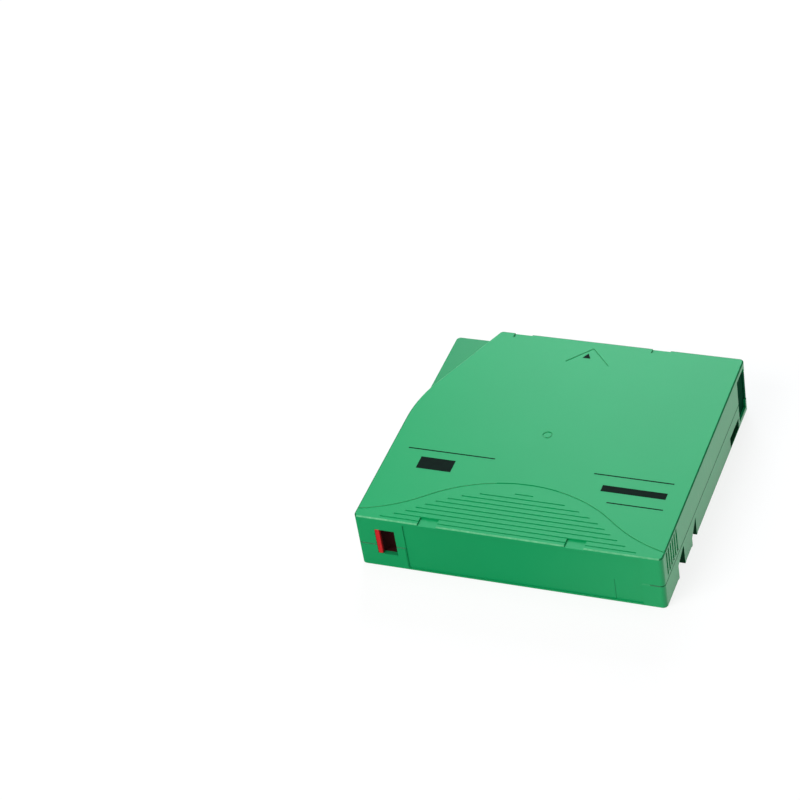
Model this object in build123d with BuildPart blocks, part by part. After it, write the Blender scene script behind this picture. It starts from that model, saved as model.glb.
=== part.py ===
"""A single-reel data tape cartridge: a two-part case, a toothed reel with its brake, and the tape.

Millimetres. The origin is at the middle of the case's underside, +Z up. +Y is the leading edge that
enters a drive first, -Y is the label end, and the sliding door is on the +X side.
"""

from build123d import *
from math import acos, atan2, cos, degrees, hypot, radians, sin, sqrt, tan
import os

# Driving dimensions: the tape and its reel
TAPE_WIDTH = 12.65
PACK_PLAY = 0.25
PACK_RADIUS = 47.0
HUB_RADIUS = 22.0
HUB_WALL = 2.0
HUB_FLOOR = 2.0
FLANGE_RADIUS = 48.5
FLANGE_THICKNESS = 1.2
FLANGE_STEP = 1.0
REEL_REST = 1.0
REEL_HEADROOM = 1.2

# Driving dimensions: the case
FLOOR = 2.0
ROOF = 2.0
SIDE_WALL = 1.6
REEL_CLEARANCE = 0.9
DOOR_LANE = 3.4
CORNER_RADIUS = 1.6
EDGE_ROUND = 0.5
FOOT_CHAMFER = 0.35
SEAM_HEIGHT = 9.7
SEAM_CHAMFER = 0.2
TONGUE_WIDTH = 0.7
TONGUE_HEIGHT = 0.8
PLAY = 0.1
FIT_GAP = 0.05

# The insertion guide: the corner that is cut away above a ledge
LEDGE_DROP = 5.0
GUIDE_ANGLE = 23.2

# The label end
LABEL_LEFT_MARGIN = 17.0
LABEL_RIGHT_MARGIN = 7.7
LABEL_LIP = 1.0
LABEL_TOP_MARGIN = 1.5
LABEL_DEPTH = 0.35
APRON_LEFT = 16.8
APRON_RIGHT = 16.9

# The write-protect tab and its window
TAB_WINDOW_LEFT = 6.7
TAB_WINDOW_WIDTH = 7.0
TAB_WINDOW_SILL = 5.9
TAB_WINDOW_HEIGHT = 10.6
TAB_DEPTH = 3.1
TAB_LENGTH = 9.4
TAB_TAIL = 3.6
TAB_NOSE = 1.5
TAB_NOSE_RECESS = 0.15
TAB_SCOOP = 4.0
TAB_TRAVEL = 4.5
TAB_RAIL = 1.0
SENSE_SLOT_LENGTH = 3.0

# The door, its window and the lane that it slides in
DOOR_THICKNESS = 1.3
DOOR_SKIN = 0.85
DOOR_GROOVE = 0.75
DOOR_OVERLAP = 1.5
DOOR_LIP = 1.2
DOOR_LIP_RECESS = 0.4
DOOR_RAIL = 1.1
WINDOW_LENGTH = 10.6
CORNER_POST = 2.4
CORNER_LOW = 5.0
CORNER_HIGH_DROP = 4.0
FOOT_SLOT_START = 12.0
FOOT_SLOT_LENGTH = 10.8
FOOT_SLOT_LOW = 0.8
FOOT_SLOT_HIGH = 4.9
SPRING_LUG_LENGTH = 1.2
SPRING_LUG_DEPTH = 1.5
SPRING_LUG_HEIGHT = 3.0

# The screws and the posts that take them
SCREW_RADIUS = 1.0
SCREW_LENGTH = 9.0
SCREW_HEAD_RADIUS = 2.0
SCREW_HEAD_HEIGHT = 1.2
SCREW_HEAD_DEPTH = 4.0
SCREW_CROSS_LENGTH = 2.6
SCREW_CROSS_WIDTH = 0.6
SCREW_CROSS_DEPTH = 0.7
POST_RADIUS = 2.4
POST_FOOT_RADIUS = 3.3
POST_FOOT_HEIGHT = 6.9

# How far in from the nearest two outer faces each screw stands
TAB_SCREW_INSET = (7.7, 11.0)
BOARD_SCREW_INSET = (8.7, 14.0)
GUIDE_SCREW_INSET = (6.2, 6.5)
DOOR_SCREW_INSET = (8.9, 21.5)

# The drive's ways in: spindle opening, locating holes, robot notches
SPINDLE_CLEARANCE = 0.6
SPINDLE_RIM = 2.5
ROUND_HOLE_INSET = (12.7, 11.0)
SLOT_HOLE_INSET = (13.2, 12.5)
LOCATING_RADIUS = 2.5
LOCATING_SLOT = 7.0
LOCATING_DEPTH = 4.0
LOCATING_WALL = 1.3
NOTCH_WALL = 1.0

# Teeth of the chuck ring, and the coarser ones that the brake locks into
CHUCK_TEETH = 60
CHUCK_RING = 2.2
CHUCK_INSET = 2.6
CHUCK_BASE = 0.8
CHUCK_TOOTH_HEIGHT = 1.0
CHUCK_TOOTH_ROOT = 1.44
CHUCK_TOOTH_TIP = 0.34
BRAKE_TEETH = 36
BRAKE_TOOTH_LENGTH = 1.6
BRAKE_TOOTH_HEIGHT = 1.1
BRAKE_TOOTH_ROOT = 2.55
BRAKE_TOOTH_TIP = 0.45
TOOTH_PLAY = 0.08
TOOTH_MARGIN = 0.1

# The clutch plate, the release pad and the brake
PLATE_INSET = 1.4
PLATE_BORE = 5.5
PLATE_THICKNESS = 1.0
LEG_INSET = 1.2
LEG_WIDTH = 3.2
LEG_THICKNESS = 2.0
LEG_LENGTH = 3.6
LEG_PLAY = 0.3
PAD_THICKNESS = 1.2
PAD_CORNER = 2.5
PAD_PIP_RADIUS = 3.0
PAD_PIP_HEIGHT = 0.35
BRAKE_DISC = 1.65
BRAKE_GAP = 0.5
BRAKE_LIFT = 2.0
BOSS_OUTER = 6.0
BOSS_INNER = 4.6
BOSS_HEIGHT = 6.6
KEY_WIDTH = 1.4
KEY_REACH = 5.6
KEY_CLEARANCE = 0.6
BRAKE_COIL_RADIUS = 7.4
BRAKE_WIRE = 0.8
BRAKE_TURNS = 3.5
COIL_SEAT_WALL = 1.0
COIL_SEAT_HEIGHT = 1.0

# The leader pin, what holds it, and the end of the tape
PIN_INSET_X = 7.6
PIN_INSET_Y = 6.1
PIN_SHAFT_RADIUS = 1.2
PIN_FLANGE_RADIUS = 2.6
PIN_FLANGE = 0.8
PIN_COLLAR_RADIUS = 2.1
PIN_COLLAR = 0.65
PIN_NECK_RADIUS = 1.4
PIN_SEAT_WALL = 1.0
PIN_SEAT_HEIGHT = 0.9
CLIP_WALL = 0.7
CLIP_SHORTER = 0.35
CLIP_MOUTH = 1.5
LEADER_THICKNESS = 0.12
LEAF_THICKNESS = 0.25
LEAF_POST = 2.0
LEAF_FINGER = 1.0
LEAF_REACH = 4.6
LEAF_STANDOFF = 0.7
LEAF_ARM_END = 2.2
LEAF_BEND = 0.8

# The door spring
DOOR_COIL_TURNS = 3
DOOR_WIRE = 0.6
WIRE_SIDES = 4
DOOR_SPRING_ARM = 8.0

# The cartridge memory
BOARD_WIDTH = 16.0
BOARD_HEIGHT = 9.0
BOARD_THICKNESS = 0.8
BOARD_INSET = 10.7
BOARD_STANDOFF = 4.2
BOARD_LIFT = 4.0
GUSSET = 1.8
CHIP_SIZE = 3.4
CHIP_THICKNESS = 0.7
ANTENNA_MARGIN = 0.8
ANTENNA_TRACK = 1.2
ANTENNA_THICKNESS = 0.12

# Ribs that ring the reel
FENCE_WALL = 1.0
FENCE_SPREAD = 60.0

# Marks moulded into the top
MARK_WIDTH = 0.5
MARK_DEPTH = 0.25
WAVE_INSET = 25.6
WAVE_RADIUS = 50.0
WAVE_TURN = 40.0
GRIP_LINES = 10
GRIP_LINE_PITCH = 2.1
GRIP_LINE_WIDTH = 0.5
GRIP_LINE_START = 5.1
GRIP_LINE_DROP = 5.0
CHEVRON_HALF_WIDTH = 7.6
CHEVRON_HEIGHT = 8.1
CHEVRON_INSET = 4.0
GATE_RADIUS = 1.5
STACK_NOTCH_WIDTH = 6.6
STACK_NOTCH_SPREAD = 25.2
STACK_NOTCH_DEPTH = 0.65
STACK_NOTCH_LABEL = 3.8
STACK_NOTCH_LEAD = 2.5

# Finger grips on both sides, near the label end
SIDE_GRIPS = 6
SIDE_GRIP_PITCH = 2.2
SIDE_GRIP_WIDTH = 1.1
SIDE_GRIP_DEPTH = 0.4
SIDE_GRIP_START = 4.7
SIDE_GRIP_LOW = 1.4
SIDE_GRIP_TOP = 1.0

# Heights that follow from the tape
REEL_BOTTOM = FLOOR + REEL_REST
PACK_FLOOR = REEL_BOTTOM + FLANGE_THICKNESS
PACK_ROOF = PACK_FLOOR + TAPE_WIDTH + PACK_PLAY
REEL_TOP = PACK_ROOF + FLANGE_THICKNESS
ROOF_UNDER = REEL_TOP + REEL_HEADROOM
CASE_HEIGHT = ROOF_UNDER + ROOF
LEDGE = CASE_HEIGHT - LEDGE_DROP
HUB_TOP = REEL_BOTTOM + HUB_FLOOR
TAPE_BOTTOM = PACK_FLOOR + PACK_PLAY / 2

# Radii inside the hub that follow from its own
CUP_RADIUS = HUB_RADIUS - HUB_WALL
CHUCK_OUTER = CUP_RADIUS - CHUCK_INSET
CHUCK_INNER = CHUCK_OUTER - CHUCK_RING
PLATE_RADIUS = CHUCK_INNER - PLATE_INSET
LEG_RADIUS = CHUCK_OUTER - LEG_INSET
SPINDLE_RADIUS = CHUCK_OUTER + SPINDLE_CLEARANCE
BRAKE_OUTER = CUP_RADIUS - BRAKE_GAP
BRAKE_INNER = BRAKE_OUTER - BRAKE_TOOTH_LENGTH

# The stack on the hub's floor: release pad, brake disc, and the brake's boss under the roof's key
PAD_BOTTOM = HUB_TOP + PLAY
PAD_TOP = PAD_BOTTOM + PAD_THICKNESS
PIP_TOP = PAD_TOP + PAD_PIP_HEIGHT
DISC_BOTTOM = PIP_TOP + PLAY
DISC_TOP = DISC_BOTTOM + BRAKE_DISC
BOSS_TOP = DISC_TOP + BOSS_HEIGHT
KEY_BOTTOM = DISC_TOP + BRAKE_LIFT + KEY_CLEARANCE

# Plan sizes that follow from the reel
GUIDE_RADIUS = FLANGE_RADIUS + REEL_CLEARANCE + SIDE_WALL
CASE_LENGTH = 2 * GUIDE_RADIUS
CASE_WIDTH = CASE_LENGTH + DOOR_LANE
RIGHT = CASE_WIDTH / 2
LEFT = -RIGHT
LEAD = CASE_LENGTH / 2
LABEL = -LEAD
REEL_X = LEFT + GUIDE_RADIUS
WAVE_APEX = LABEL + WAVE_INSET
CAVITY_LEFT = LEFT + SIDE_WALL
CAVITY_RIGHT = RIGHT - SIDE_WALL
CAVITY_LABEL = LABEL + SIDE_WALL
CAVITY_LEAD = LEAD - SIDE_WALL

# The door's lane, from its skin inwards
LANE_OUTER = RIGHT - DOOR_SKIN
DOOR_OUTER = LANE_OUTER - PLAY
DOOR_INNER = DOOR_OUTER - DOOR_THICKNESS
LANE_INNER = DOOR_INNER - PLAY
WINDOW_REAR = LEAD - WINDOW_LENGTH
LIP_REAR = LEAD - DOOR_LIP_RECESS - DOOR_LIP
DOOR_TRAVEL = LIP_REAR - WINDOW_REAR - PLAY
DOOR_REAR = WINDOW_REAR - DOOR_OVERLAP
LANE_REAR = DOOR_REAR - DOOR_TRAVEL - PLAY
LANE_BOTTOM = FLOOR - DOOR_GROOVE
LANE_TOP = ROOF_UNDER + DOOR_GROOVE
CORNER_HIGH = CASE_HEIGHT - CORNER_HIGH_DROP
POST_LEAD = CAVITY_LEAD - PLAY

# Places of the posts, of the pin and of the locating holes
DOOR_POST = (RIGHT - DOOR_SCREW_INSET[0], LEAD - DOOR_SCREW_INSET[1])
SCREW_PLACES = [
    (LEFT + TAB_SCREW_INSET[0], LABEL + TAB_SCREW_INSET[1]),
    (RIGHT - BOARD_SCREW_INSET[0], LABEL + BOARD_SCREW_INSET[1]),
    (LEFT + GUIDE_SCREW_INSET[0], LEAD - GUIDE_SCREW_INSET[1]),
    DOOR_POST,
]
PIN = (RIGHT - PIN_INSET_X, LEAD - PIN_INSET_Y)
ROUND_HOLE = (LEFT + ROUND_HOLE_INSET[0], LEAD - ROUND_HOLE_INSET[1])
SLOT_HOLE = (RIGHT - SLOT_HOLE_INSET[0], LEAD - SLOT_HOLE_INSET[1])

# Side notches for a robot's fingers, given as Y from the label end: near edge, far edge, where the
# slanted roof ends, then the height of its shoulder and of its top, then the depth
ROBOT_NOTCHES = [
    (14.9, 21.8, 20.5, 5.3, 7.9, 3.2),
    (30.65, 35.8, 35.6, 3.0, 7.7, 2.4),
]


def block(xs, ys, zs, mode=Mode.ADD):
    """Adds or cuts an upright block that spans two X, two Y and two Z values."""
    with BuildSketch(Plane.XY.offset(zs[0])) as outline:
        with Locations(((xs[0] + xs[1]) / 2, (ys[0] + ys[1]) / 2)):
            Rectangle(xs[1] - xs[0], ys[1] - ys[0])
    extrude(outline.sketch, amount=zs[1] - zs[0], mode=mode)


def posts(places, radius, bottom, top, mode=Mode.ADD):
    """Adds or cuts upright round posts of one radius at several places."""
    with BuildSketch(Plane.XY.offset(bottom)) as outline:
        with Locations(*places):
            Circle(radius)
    extrude(outline.sketch, amount=top - bottom, mode=mode)


def ring(centre, inner, outer, bottom, top, mode=Mode.ADD):
    """Adds or cuts an upright ring."""
    with BuildSketch(Plane.XY.offset(bottom)) as outline:
        with Locations(centre):
            Circle(outer)
            Circle(inner, mode=Mode.SUBTRACT)
    extrude(outline.sketch, amount=top - bottom, mode=mode)


def case_outline(inset, height):
    """The full rectangular outline of the case, drawn in by an inset."""
    with BuildSketch(Plane.XY.offset(height)) as outline:
        corner = max(CORNER_RADIUS - inset, EDGE_ROUND)
        RectangleRounded(CASE_WIDTH - 2 * inset, CASE_LENGTH - 2 * inset, corner)
    return outline.sketch


def guide_outline(inset, height):
    """The outline above the ledge: an arc about the reel and a straight flank replace one corner."""
    radius = GUIDE_RADIUS - inset
    flank = (REEL_X - radius * cos(radians(GUIDE_ANGLE)), radius * sin(radians(GUIDE_ANGLE)))
    lead = LEAD - inset
    side = RIGHT - inset
    flank_end = flank[0] + (lead - flank[1]) * tan(radians(GUIDE_ANGLE))
    with BuildSketch(Plane.XY.offset(height)) as outline:
        with BuildLine():
            CenterArc((REEL_X, 0), radius, 180, -GUIDE_ANGLE)
            Polyline(flank, (flank_end, lead), (side, lead), (side, -lead), (-side, -lead), (-side, 0))
        make_face()
        corners = [v for v in outline.vertices() if abs(v.Y) > lead - FIT_GAP]
        fillet(corners, max(CORNER_RADIUS - inset, EDGE_ROUND))
    return outline.sketch


def fence(angles, bottom, top):
    """Adds upright arcs that keep the reel centred while it isn't chucked."""
    inner = FLANGE_RADIUS + REEL_CLEARANCE
    for angle in angles:
        with BuildSketch(Plane.XY.offset(bottom)) as outline:
            with BuildLine() as edge:
                outer_arc = CenterArc(
                    (REEL_X, 0), inner + FENCE_WALL, angle - FENCE_SPREAD / 2, FENCE_SPREAD
                )
                inner_arc = CenterArc((REEL_X, 0), inner, angle - FENCE_SPREAD / 2, FENCE_SPREAD)
                Line(outer_arc @ 0, inner_arc @ 0)
                Line(outer_arc @ 1, inner_arc @ 1)
            make_face(edge.edges())
        extrude(outline.sketch, amount=top - bottom)


def radial_tooth(radii, heights, widths):
    """One straight radial tooth about the origin's Z axis, a little shorter than its ring is wide.

    Each pair is given from the tooth's root to its tip, and the radii from the inside out.
    """
    root_height, tip_height = heights
    root_half, tip_half = widths[0] / 2, widths[1] / 2
    sunk = root_height - FIT_GAP if tip_height > root_height else root_height + FIT_GAP
    with BuildPart() as tooth:
        with BuildSketch(Plane.YZ.offset(radii[0] + TOOTH_MARGIN)):
            with BuildLine():
                Polyline(
                    (-root_half, sunk),
                    (-root_half, root_height),
                    (-tip_half, tip_height),
                    (tip_half, tip_height),
                    (root_half, root_height),
                    (root_half, sunk),
                    close=True,
                )
            make_face()
        extrude(amount=radii[1] - radii[0] - 2 * TOOTH_MARGIN)
    return tooth.part


def notch_profile(near, far, roof_end, shoulder, top, wall, depth, side):
    """Adds the walls of a robot notch, or cuts the notch itself where the wall is nothing."""
    near_y = LABEL + near - wall
    far_y = LABEL + far + wall
    outer = side * RIGHT
    with BuildSketch(Plane.YZ.offset(outer)) as outline:
        with BuildLine():
            Polyline(
                (near_y, 0),
                (near_y, shoulder + wall),
                (LABEL + roof_end, top + wall),
                (far_y, top + wall),
                (far_y, 0),
                close=True,
            )
        make_face()
    mode = Mode.ADD if wall else Mode.SUBTRACT
    extrude(outline.sketch, amount=-side * (depth + wall), mode=mode)


def pin_seat(bottom, top):
    """Adds a U-shaped rib round one end of the leader pin, open towards the door."""
    inner = PIN_FLANGE_RADIUS + 2 * PLAY
    outer = inner + PIN_SEAT_WALL
    with BuildSketch(Plane.XY.offset(bottom)) as outline:
        with Locations(PIN):
            Circle(outer)
            Circle(inner, mode=Mode.SUBTRACT)
        with Locations((PIN[0] + outer / 2, PIN[1])):
            Rectangle(outer, 2 * outer, mode=Mode.SUBTRACT)
    extrude(outline.sketch, amount=top - bottom)


def window_and_lane():
    """Cuts the door's lane, the window that it closes and the slit at the leading corner."""
    block((LANE_INNER, LANE_OUTER), (LANE_REAR, CAVITY_LEAD), (LANE_BOTTOM, LANE_TOP), Mode.SUBTRACT)
    window_y = (WINDOW_REAR, LEAD - CORNER_POST)
    block((LANE_INNER, RIGHT), window_y, (FLOOR, ROOF_UNDER), Mode.SUBTRACT)
    slit_y = (LEAD - CORNER_POST, LEAD)
    block((LANE_INNER, RIGHT), slit_y, (CORNER_LOW, CORNER_HIGH), Mode.SUBTRACT)


def label_recess():
    """Cuts the shallow field that a label lies in."""
    block(
        (LEFT + LABEL_LEFT_MARGIN, RIGHT - LABEL_RIGHT_MARGIN),
        (LABEL, LABEL + LABEL_DEPTH),
        (LABEL_LIP, CASE_HEIGHT - LABEL_TOP_MARGIN),
        Mode.SUBTRACT,
    )


def tab_window():
    """Cuts the window that shows the write-protect tab."""
    left = LEFT + TAB_WINDOW_LEFT
    block(
        (left, left + TAB_WINDOW_WIDTH),
        (LABEL, CAVITY_LABEL),
        (TAB_WINDOW_SILL, TAB_WINDOW_SILL + TAB_WINDOW_HEIGHT),
        Mode.SUBTRACT,
    )


def wave_half_width(y):
    """Half the width of the wave at one Y: an arc about the middle, then its reverse."""
    fall = WAVE_APEX - y
    bend = WAVE_RADIUS * (1 - cos(radians(WAVE_TURN)))
    if fall <= bend:
        return sqrt(WAVE_RADIUS**2 - (WAVE_RADIUS - fall) ** 2)
    left_over = WAVE_RADIUS * cos(radians(WAVE_TURN)) + fall - bend
    half_bend = WAVE_RADIUS * sin(radians(WAVE_TURN))
    return 2 * half_bend - sqrt(WAVE_RADIUS**2 - left_over**2)


# Places that several pieces share
TAB_LEFT = LEFT + TAB_WINDOW_LEFT - TAB_TAIL
TAB_RIGHT = TAB_LEFT + TAB_LENGTH
TAB_FRONT = CAVITY_LABEL + PLAY
TAB_BACK = TAB_FRONT + TAB_DEPTH
RAIL_Y = (TAB_BACK + PLAY, TAB_BACK + PLAY + TAB_RAIL)
RAIL_X = (CAVITY_LEFT, TAB_RIGHT + TAB_TRAVEL)
APRON_X = (LEFT + APRON_LEFT, RIGHT - APRON_RIGHT)
GUIDE_RAIL_X = (LANE_INNER - DOOR_RAIL, LANE_INNER)
GUIDE_RAIL_Y = (LANE_REAR, DOOR_REAR)
GUIDE_RAIL_HEIGHT = 4.0
BOARD_PLANE = Plane(
    origin=(RIGHT - BOARD_INSET, CAVITY_LABEL + BOARD_STANDOFF, FLOOR + BOARD_LIFT),
    x_dir=(1, 0, 0),
    z_dir=(0, -1, -1),
)
LEAF_FACE = CAVITY_LEAD - PLAY - LEAF_THICKNESS
LEAF_START = PIN[0] - LEAF_REACH
COIL_RADIUS = POST_RADIUS + DOOR_WIRE / 2 + 3 * PLAY
COIL_PITCH = DOOR_WIRE + FIT_GAP
COIL_BOTTOM = POST_FOOT_HEIGHT + DOOR_WIRE / 2 + 2 * FIT_GAP
COIL_TOP = COIL_BOTTOM + DOOR_COIL_TURNS * COIL_PITCH
LUG_Z = (COIL_TOP - SPRING_LUG_HEIGHT / 2, COIL_TOP + SPRING_LUG_HEIGHT / 2)
LUG_Y = (DOOR_REAR + DOOR_WIRE + PLAY, DOOR_REAR + DOOR_WIRE + PLAY + SPRING_LUG_LENGTH)
STOP_X = DOOR_POST[0] + COIL_RADIUS + DOOR_WIRE / 2 + FIT_GAP

os.makedirs("parts", exist_ok=True)


with BuildPart() as lower_shell:
    extrude(case_outline(0, 0), amount=SEAM_HEIGHT)
    chamfer(lower_shell.faces().sort_by(Axis.Z)[0].edges(), FOOT_CHAMFER)
    chamfer(lower_shell.faces().sort_by(Axis.Z)[-1].edges(), SEAM_CHAMFER)
    extrude(case_outline(SIDE_WALL, FLOOR), amount=SEAM_HEIGHT - FLOOR, mode=Mode.SUBTRACT)
    # The tongue that the upper shell's rebate drops over
    with BuildSketch(Plane.XY.offset(SEAM_HEIGHT)) as tongue:
        add(case_outline(SIDE_WALL - TONGUE_WIDTH, 0))
        add(case_outline(SIDE_WALL, 0), mode=Mode.SUBTRACT)
    extrude(amount=TONGUE_HEIGHT)
    # The rim round the spindle opening, on which the reel rests, and the fences round the reel
    ring((REEL_X, 0), SPINDLE_RADIUS, SPINDLE_RADIUS + SPINDLE_RIM, FLOOR, REEL_BOTTOM - PLAY)
    fence((135, 225, 315), FLOOR, SEAM_HEIGHT - PLAY)
    # Screw posts on wide feet, and the bosses of the locating holes
    posts(SCREW_PLACES, POST_FOOT_RADIUS, FLOOR, POST_FOOT_HEIGHT)
    posts(SCREW_PLACES, POST_RADIUS, FLOOR, SEAM_HEIGHT - FIT_GAP)
    posts([ROUND_HOLE], LOCATING_RADIUS + LOCATING_WALL, FLOOR, LOCATING_DEPTH + LOCATING_WALL)
    with BuildSketch(Plane.XY.offset(FLOOR)) as slot_boss:
        with Locations(SLOT_HOLE):
            SlotOverall(LOCATING_SLOT + 2 * LOCATING_WALL, 2 * (LOCATING_RADIUS + LOCATING_WALL))
    extrude(amount=LOCATING_DEPTH + LOCATING_WALL - FLOOR)
    # The leader pin's seat, the leaf spring's post, the door's rail and the door spring's stop
    pin_seat(FLOOR, FLOOR + PIN_SEAT_HEIGHT)
    leaf_post_y = (LEAF_FACE - PLAY - FENCE_WALL, LEAF_FACE - PLAY)
    block((LEAF_START, LEAF_START + LEAF_POST), leaf_post_y, (FLOOR, SEAM_HEIGHT - PLAY))
    block(GUIDE_RAIL_X, GUIDE_RAIL_Y, (FLOOR, FLOOR + GUIDE_RAIL_HEIGHT))
    stop_y = (DOOR_POST[1] - DOOR_SPRING_ARM, DOOR_POST[1] - DOOR_SPRING_ARM / 2)
    block((STOP_X, STOP_X + FENCE_WALL), stop_y, (FLOOR, COIL_BOTTOM + DOOR_WIRE))
    # The write-protect tab's rail
    block(RAIL_X, RAIL_Y, (FLOOR, SEAM_HEIGHT - PLAY))
    # The walls round the robot notches
    for side in (-1, 1):
        for near, far, roof_end, shoulder, top, depth in ROBOT_NOTCHES:
            notch_profile(near, far, roof_end, shoulder, top, NOTCH_WALL, depth, side)
    # Two gussets that hold the memory board by its ends
    board_x = BOARD_PLANE.origin.X
    for end in (board_x - BOARD_WIDTH / 2, board_x + BOARD_WIDTH / 2):
        gusset_y = (CAVITY_LABEL + PLAY, CAVITY_LABEL + 2 * BOARD_STANDOFF)
        gusset_x = (end - GUSSET / 2, min(end + GUSSET / 2, CAVITY_RIGHT))
        block(gusset_x, gusset_y, (FLOOR, SEAM_HEIGHT - 2 * PLAY))
    with BuildSketch(BOARD_PLANE.offset(PLAY)):
        Rectangle(BOARD_WIDTH + 2 * PLAY, BOARD_HEIGHT + 2 * PLAY)
    extrude(amount=-BOARD_THICKNESS - 2 * PLAY, mode=Mode.SUBTRACT)
    # Openings in the underside
    posts([(REEL_X, 0)], SPINDLE_RADIUS, 0, REEL_BOTTOM, Mode.SUBTRACT)
    posts([ROUND_HOLE], LOCATING_RADIUS, 0, LOCATING_DEPTH, Mode.SUBTRACT)
    with BuildSketch() as slot_hole:
        with Locations(SLOT_HOLE):
            SlotOverall(LOCATING_SLOT, 2 * LOCATING_RADIUS)
    extrude(amount=LOCATING_DEPTH, mode=Mode.SUBTRACT)
    posts(SCREW_PLACES, SCREW_HEAD_RADIUS + 2 * PLAY, 0, SCREW_HEAD_DEPTH, Mode.SUBTRACT)
    posts(SCREW_PLACES, SCREW_RADIUS + PLAY, SCREW_HEAD_DEPTH, SEAM_HEIGHT, Mode.SUBTRACT)
    sense_x = (TAB_RIGHT + 2 * PLAY, TAB_RIGHT + 2 * PLAY + SENSE_SLOT_LENGTH)
    block(sense_x, (TAB_FRONT + PLAY, TAB_BACK - PLAY), (0, FLOOR), Mode.SUBTRACT)
    for side in (-1, 1):
        for near, far, roof_end, shoulder, top, depth in ROBOT_NOTCHES:
            notch_profile(near, far, roof_end, shoulder, top, 0, depth, side)
    # The foot slot in the side, then the door's lane and window
    slot_y = (LEAD - FOOT_SLOT_START - FOOT_SLOT_LENGTH, LEAD - FOOT_SLOT_START)
    block((LANE_INNER, RIGHT), slot_y, (FOOT_SLOT_LOW, FOOT_SLOT_HIGH), Mode.SUBTRACT)
    window_and_lane()
    # The gap that the upper shell's apron fills, the label field and the tab's window
    apron_gap = (APRON_X[0] - PLAY, APRON_X[1] + PLAY)
    apron_z = (LABEL_LIP, SEAM_HEIGHT + TONGUE_HEIGHT)
    block(apron_gap, (LABEL, CAVITY_LABEL + PLAY), apron_z, Mode.SUBTRACT)
    label_recess()
    tab_window()
lower_shell.part.label = "lower_shell"
export_step(lower_shell.part, "parts/lower_shell.step")


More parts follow.
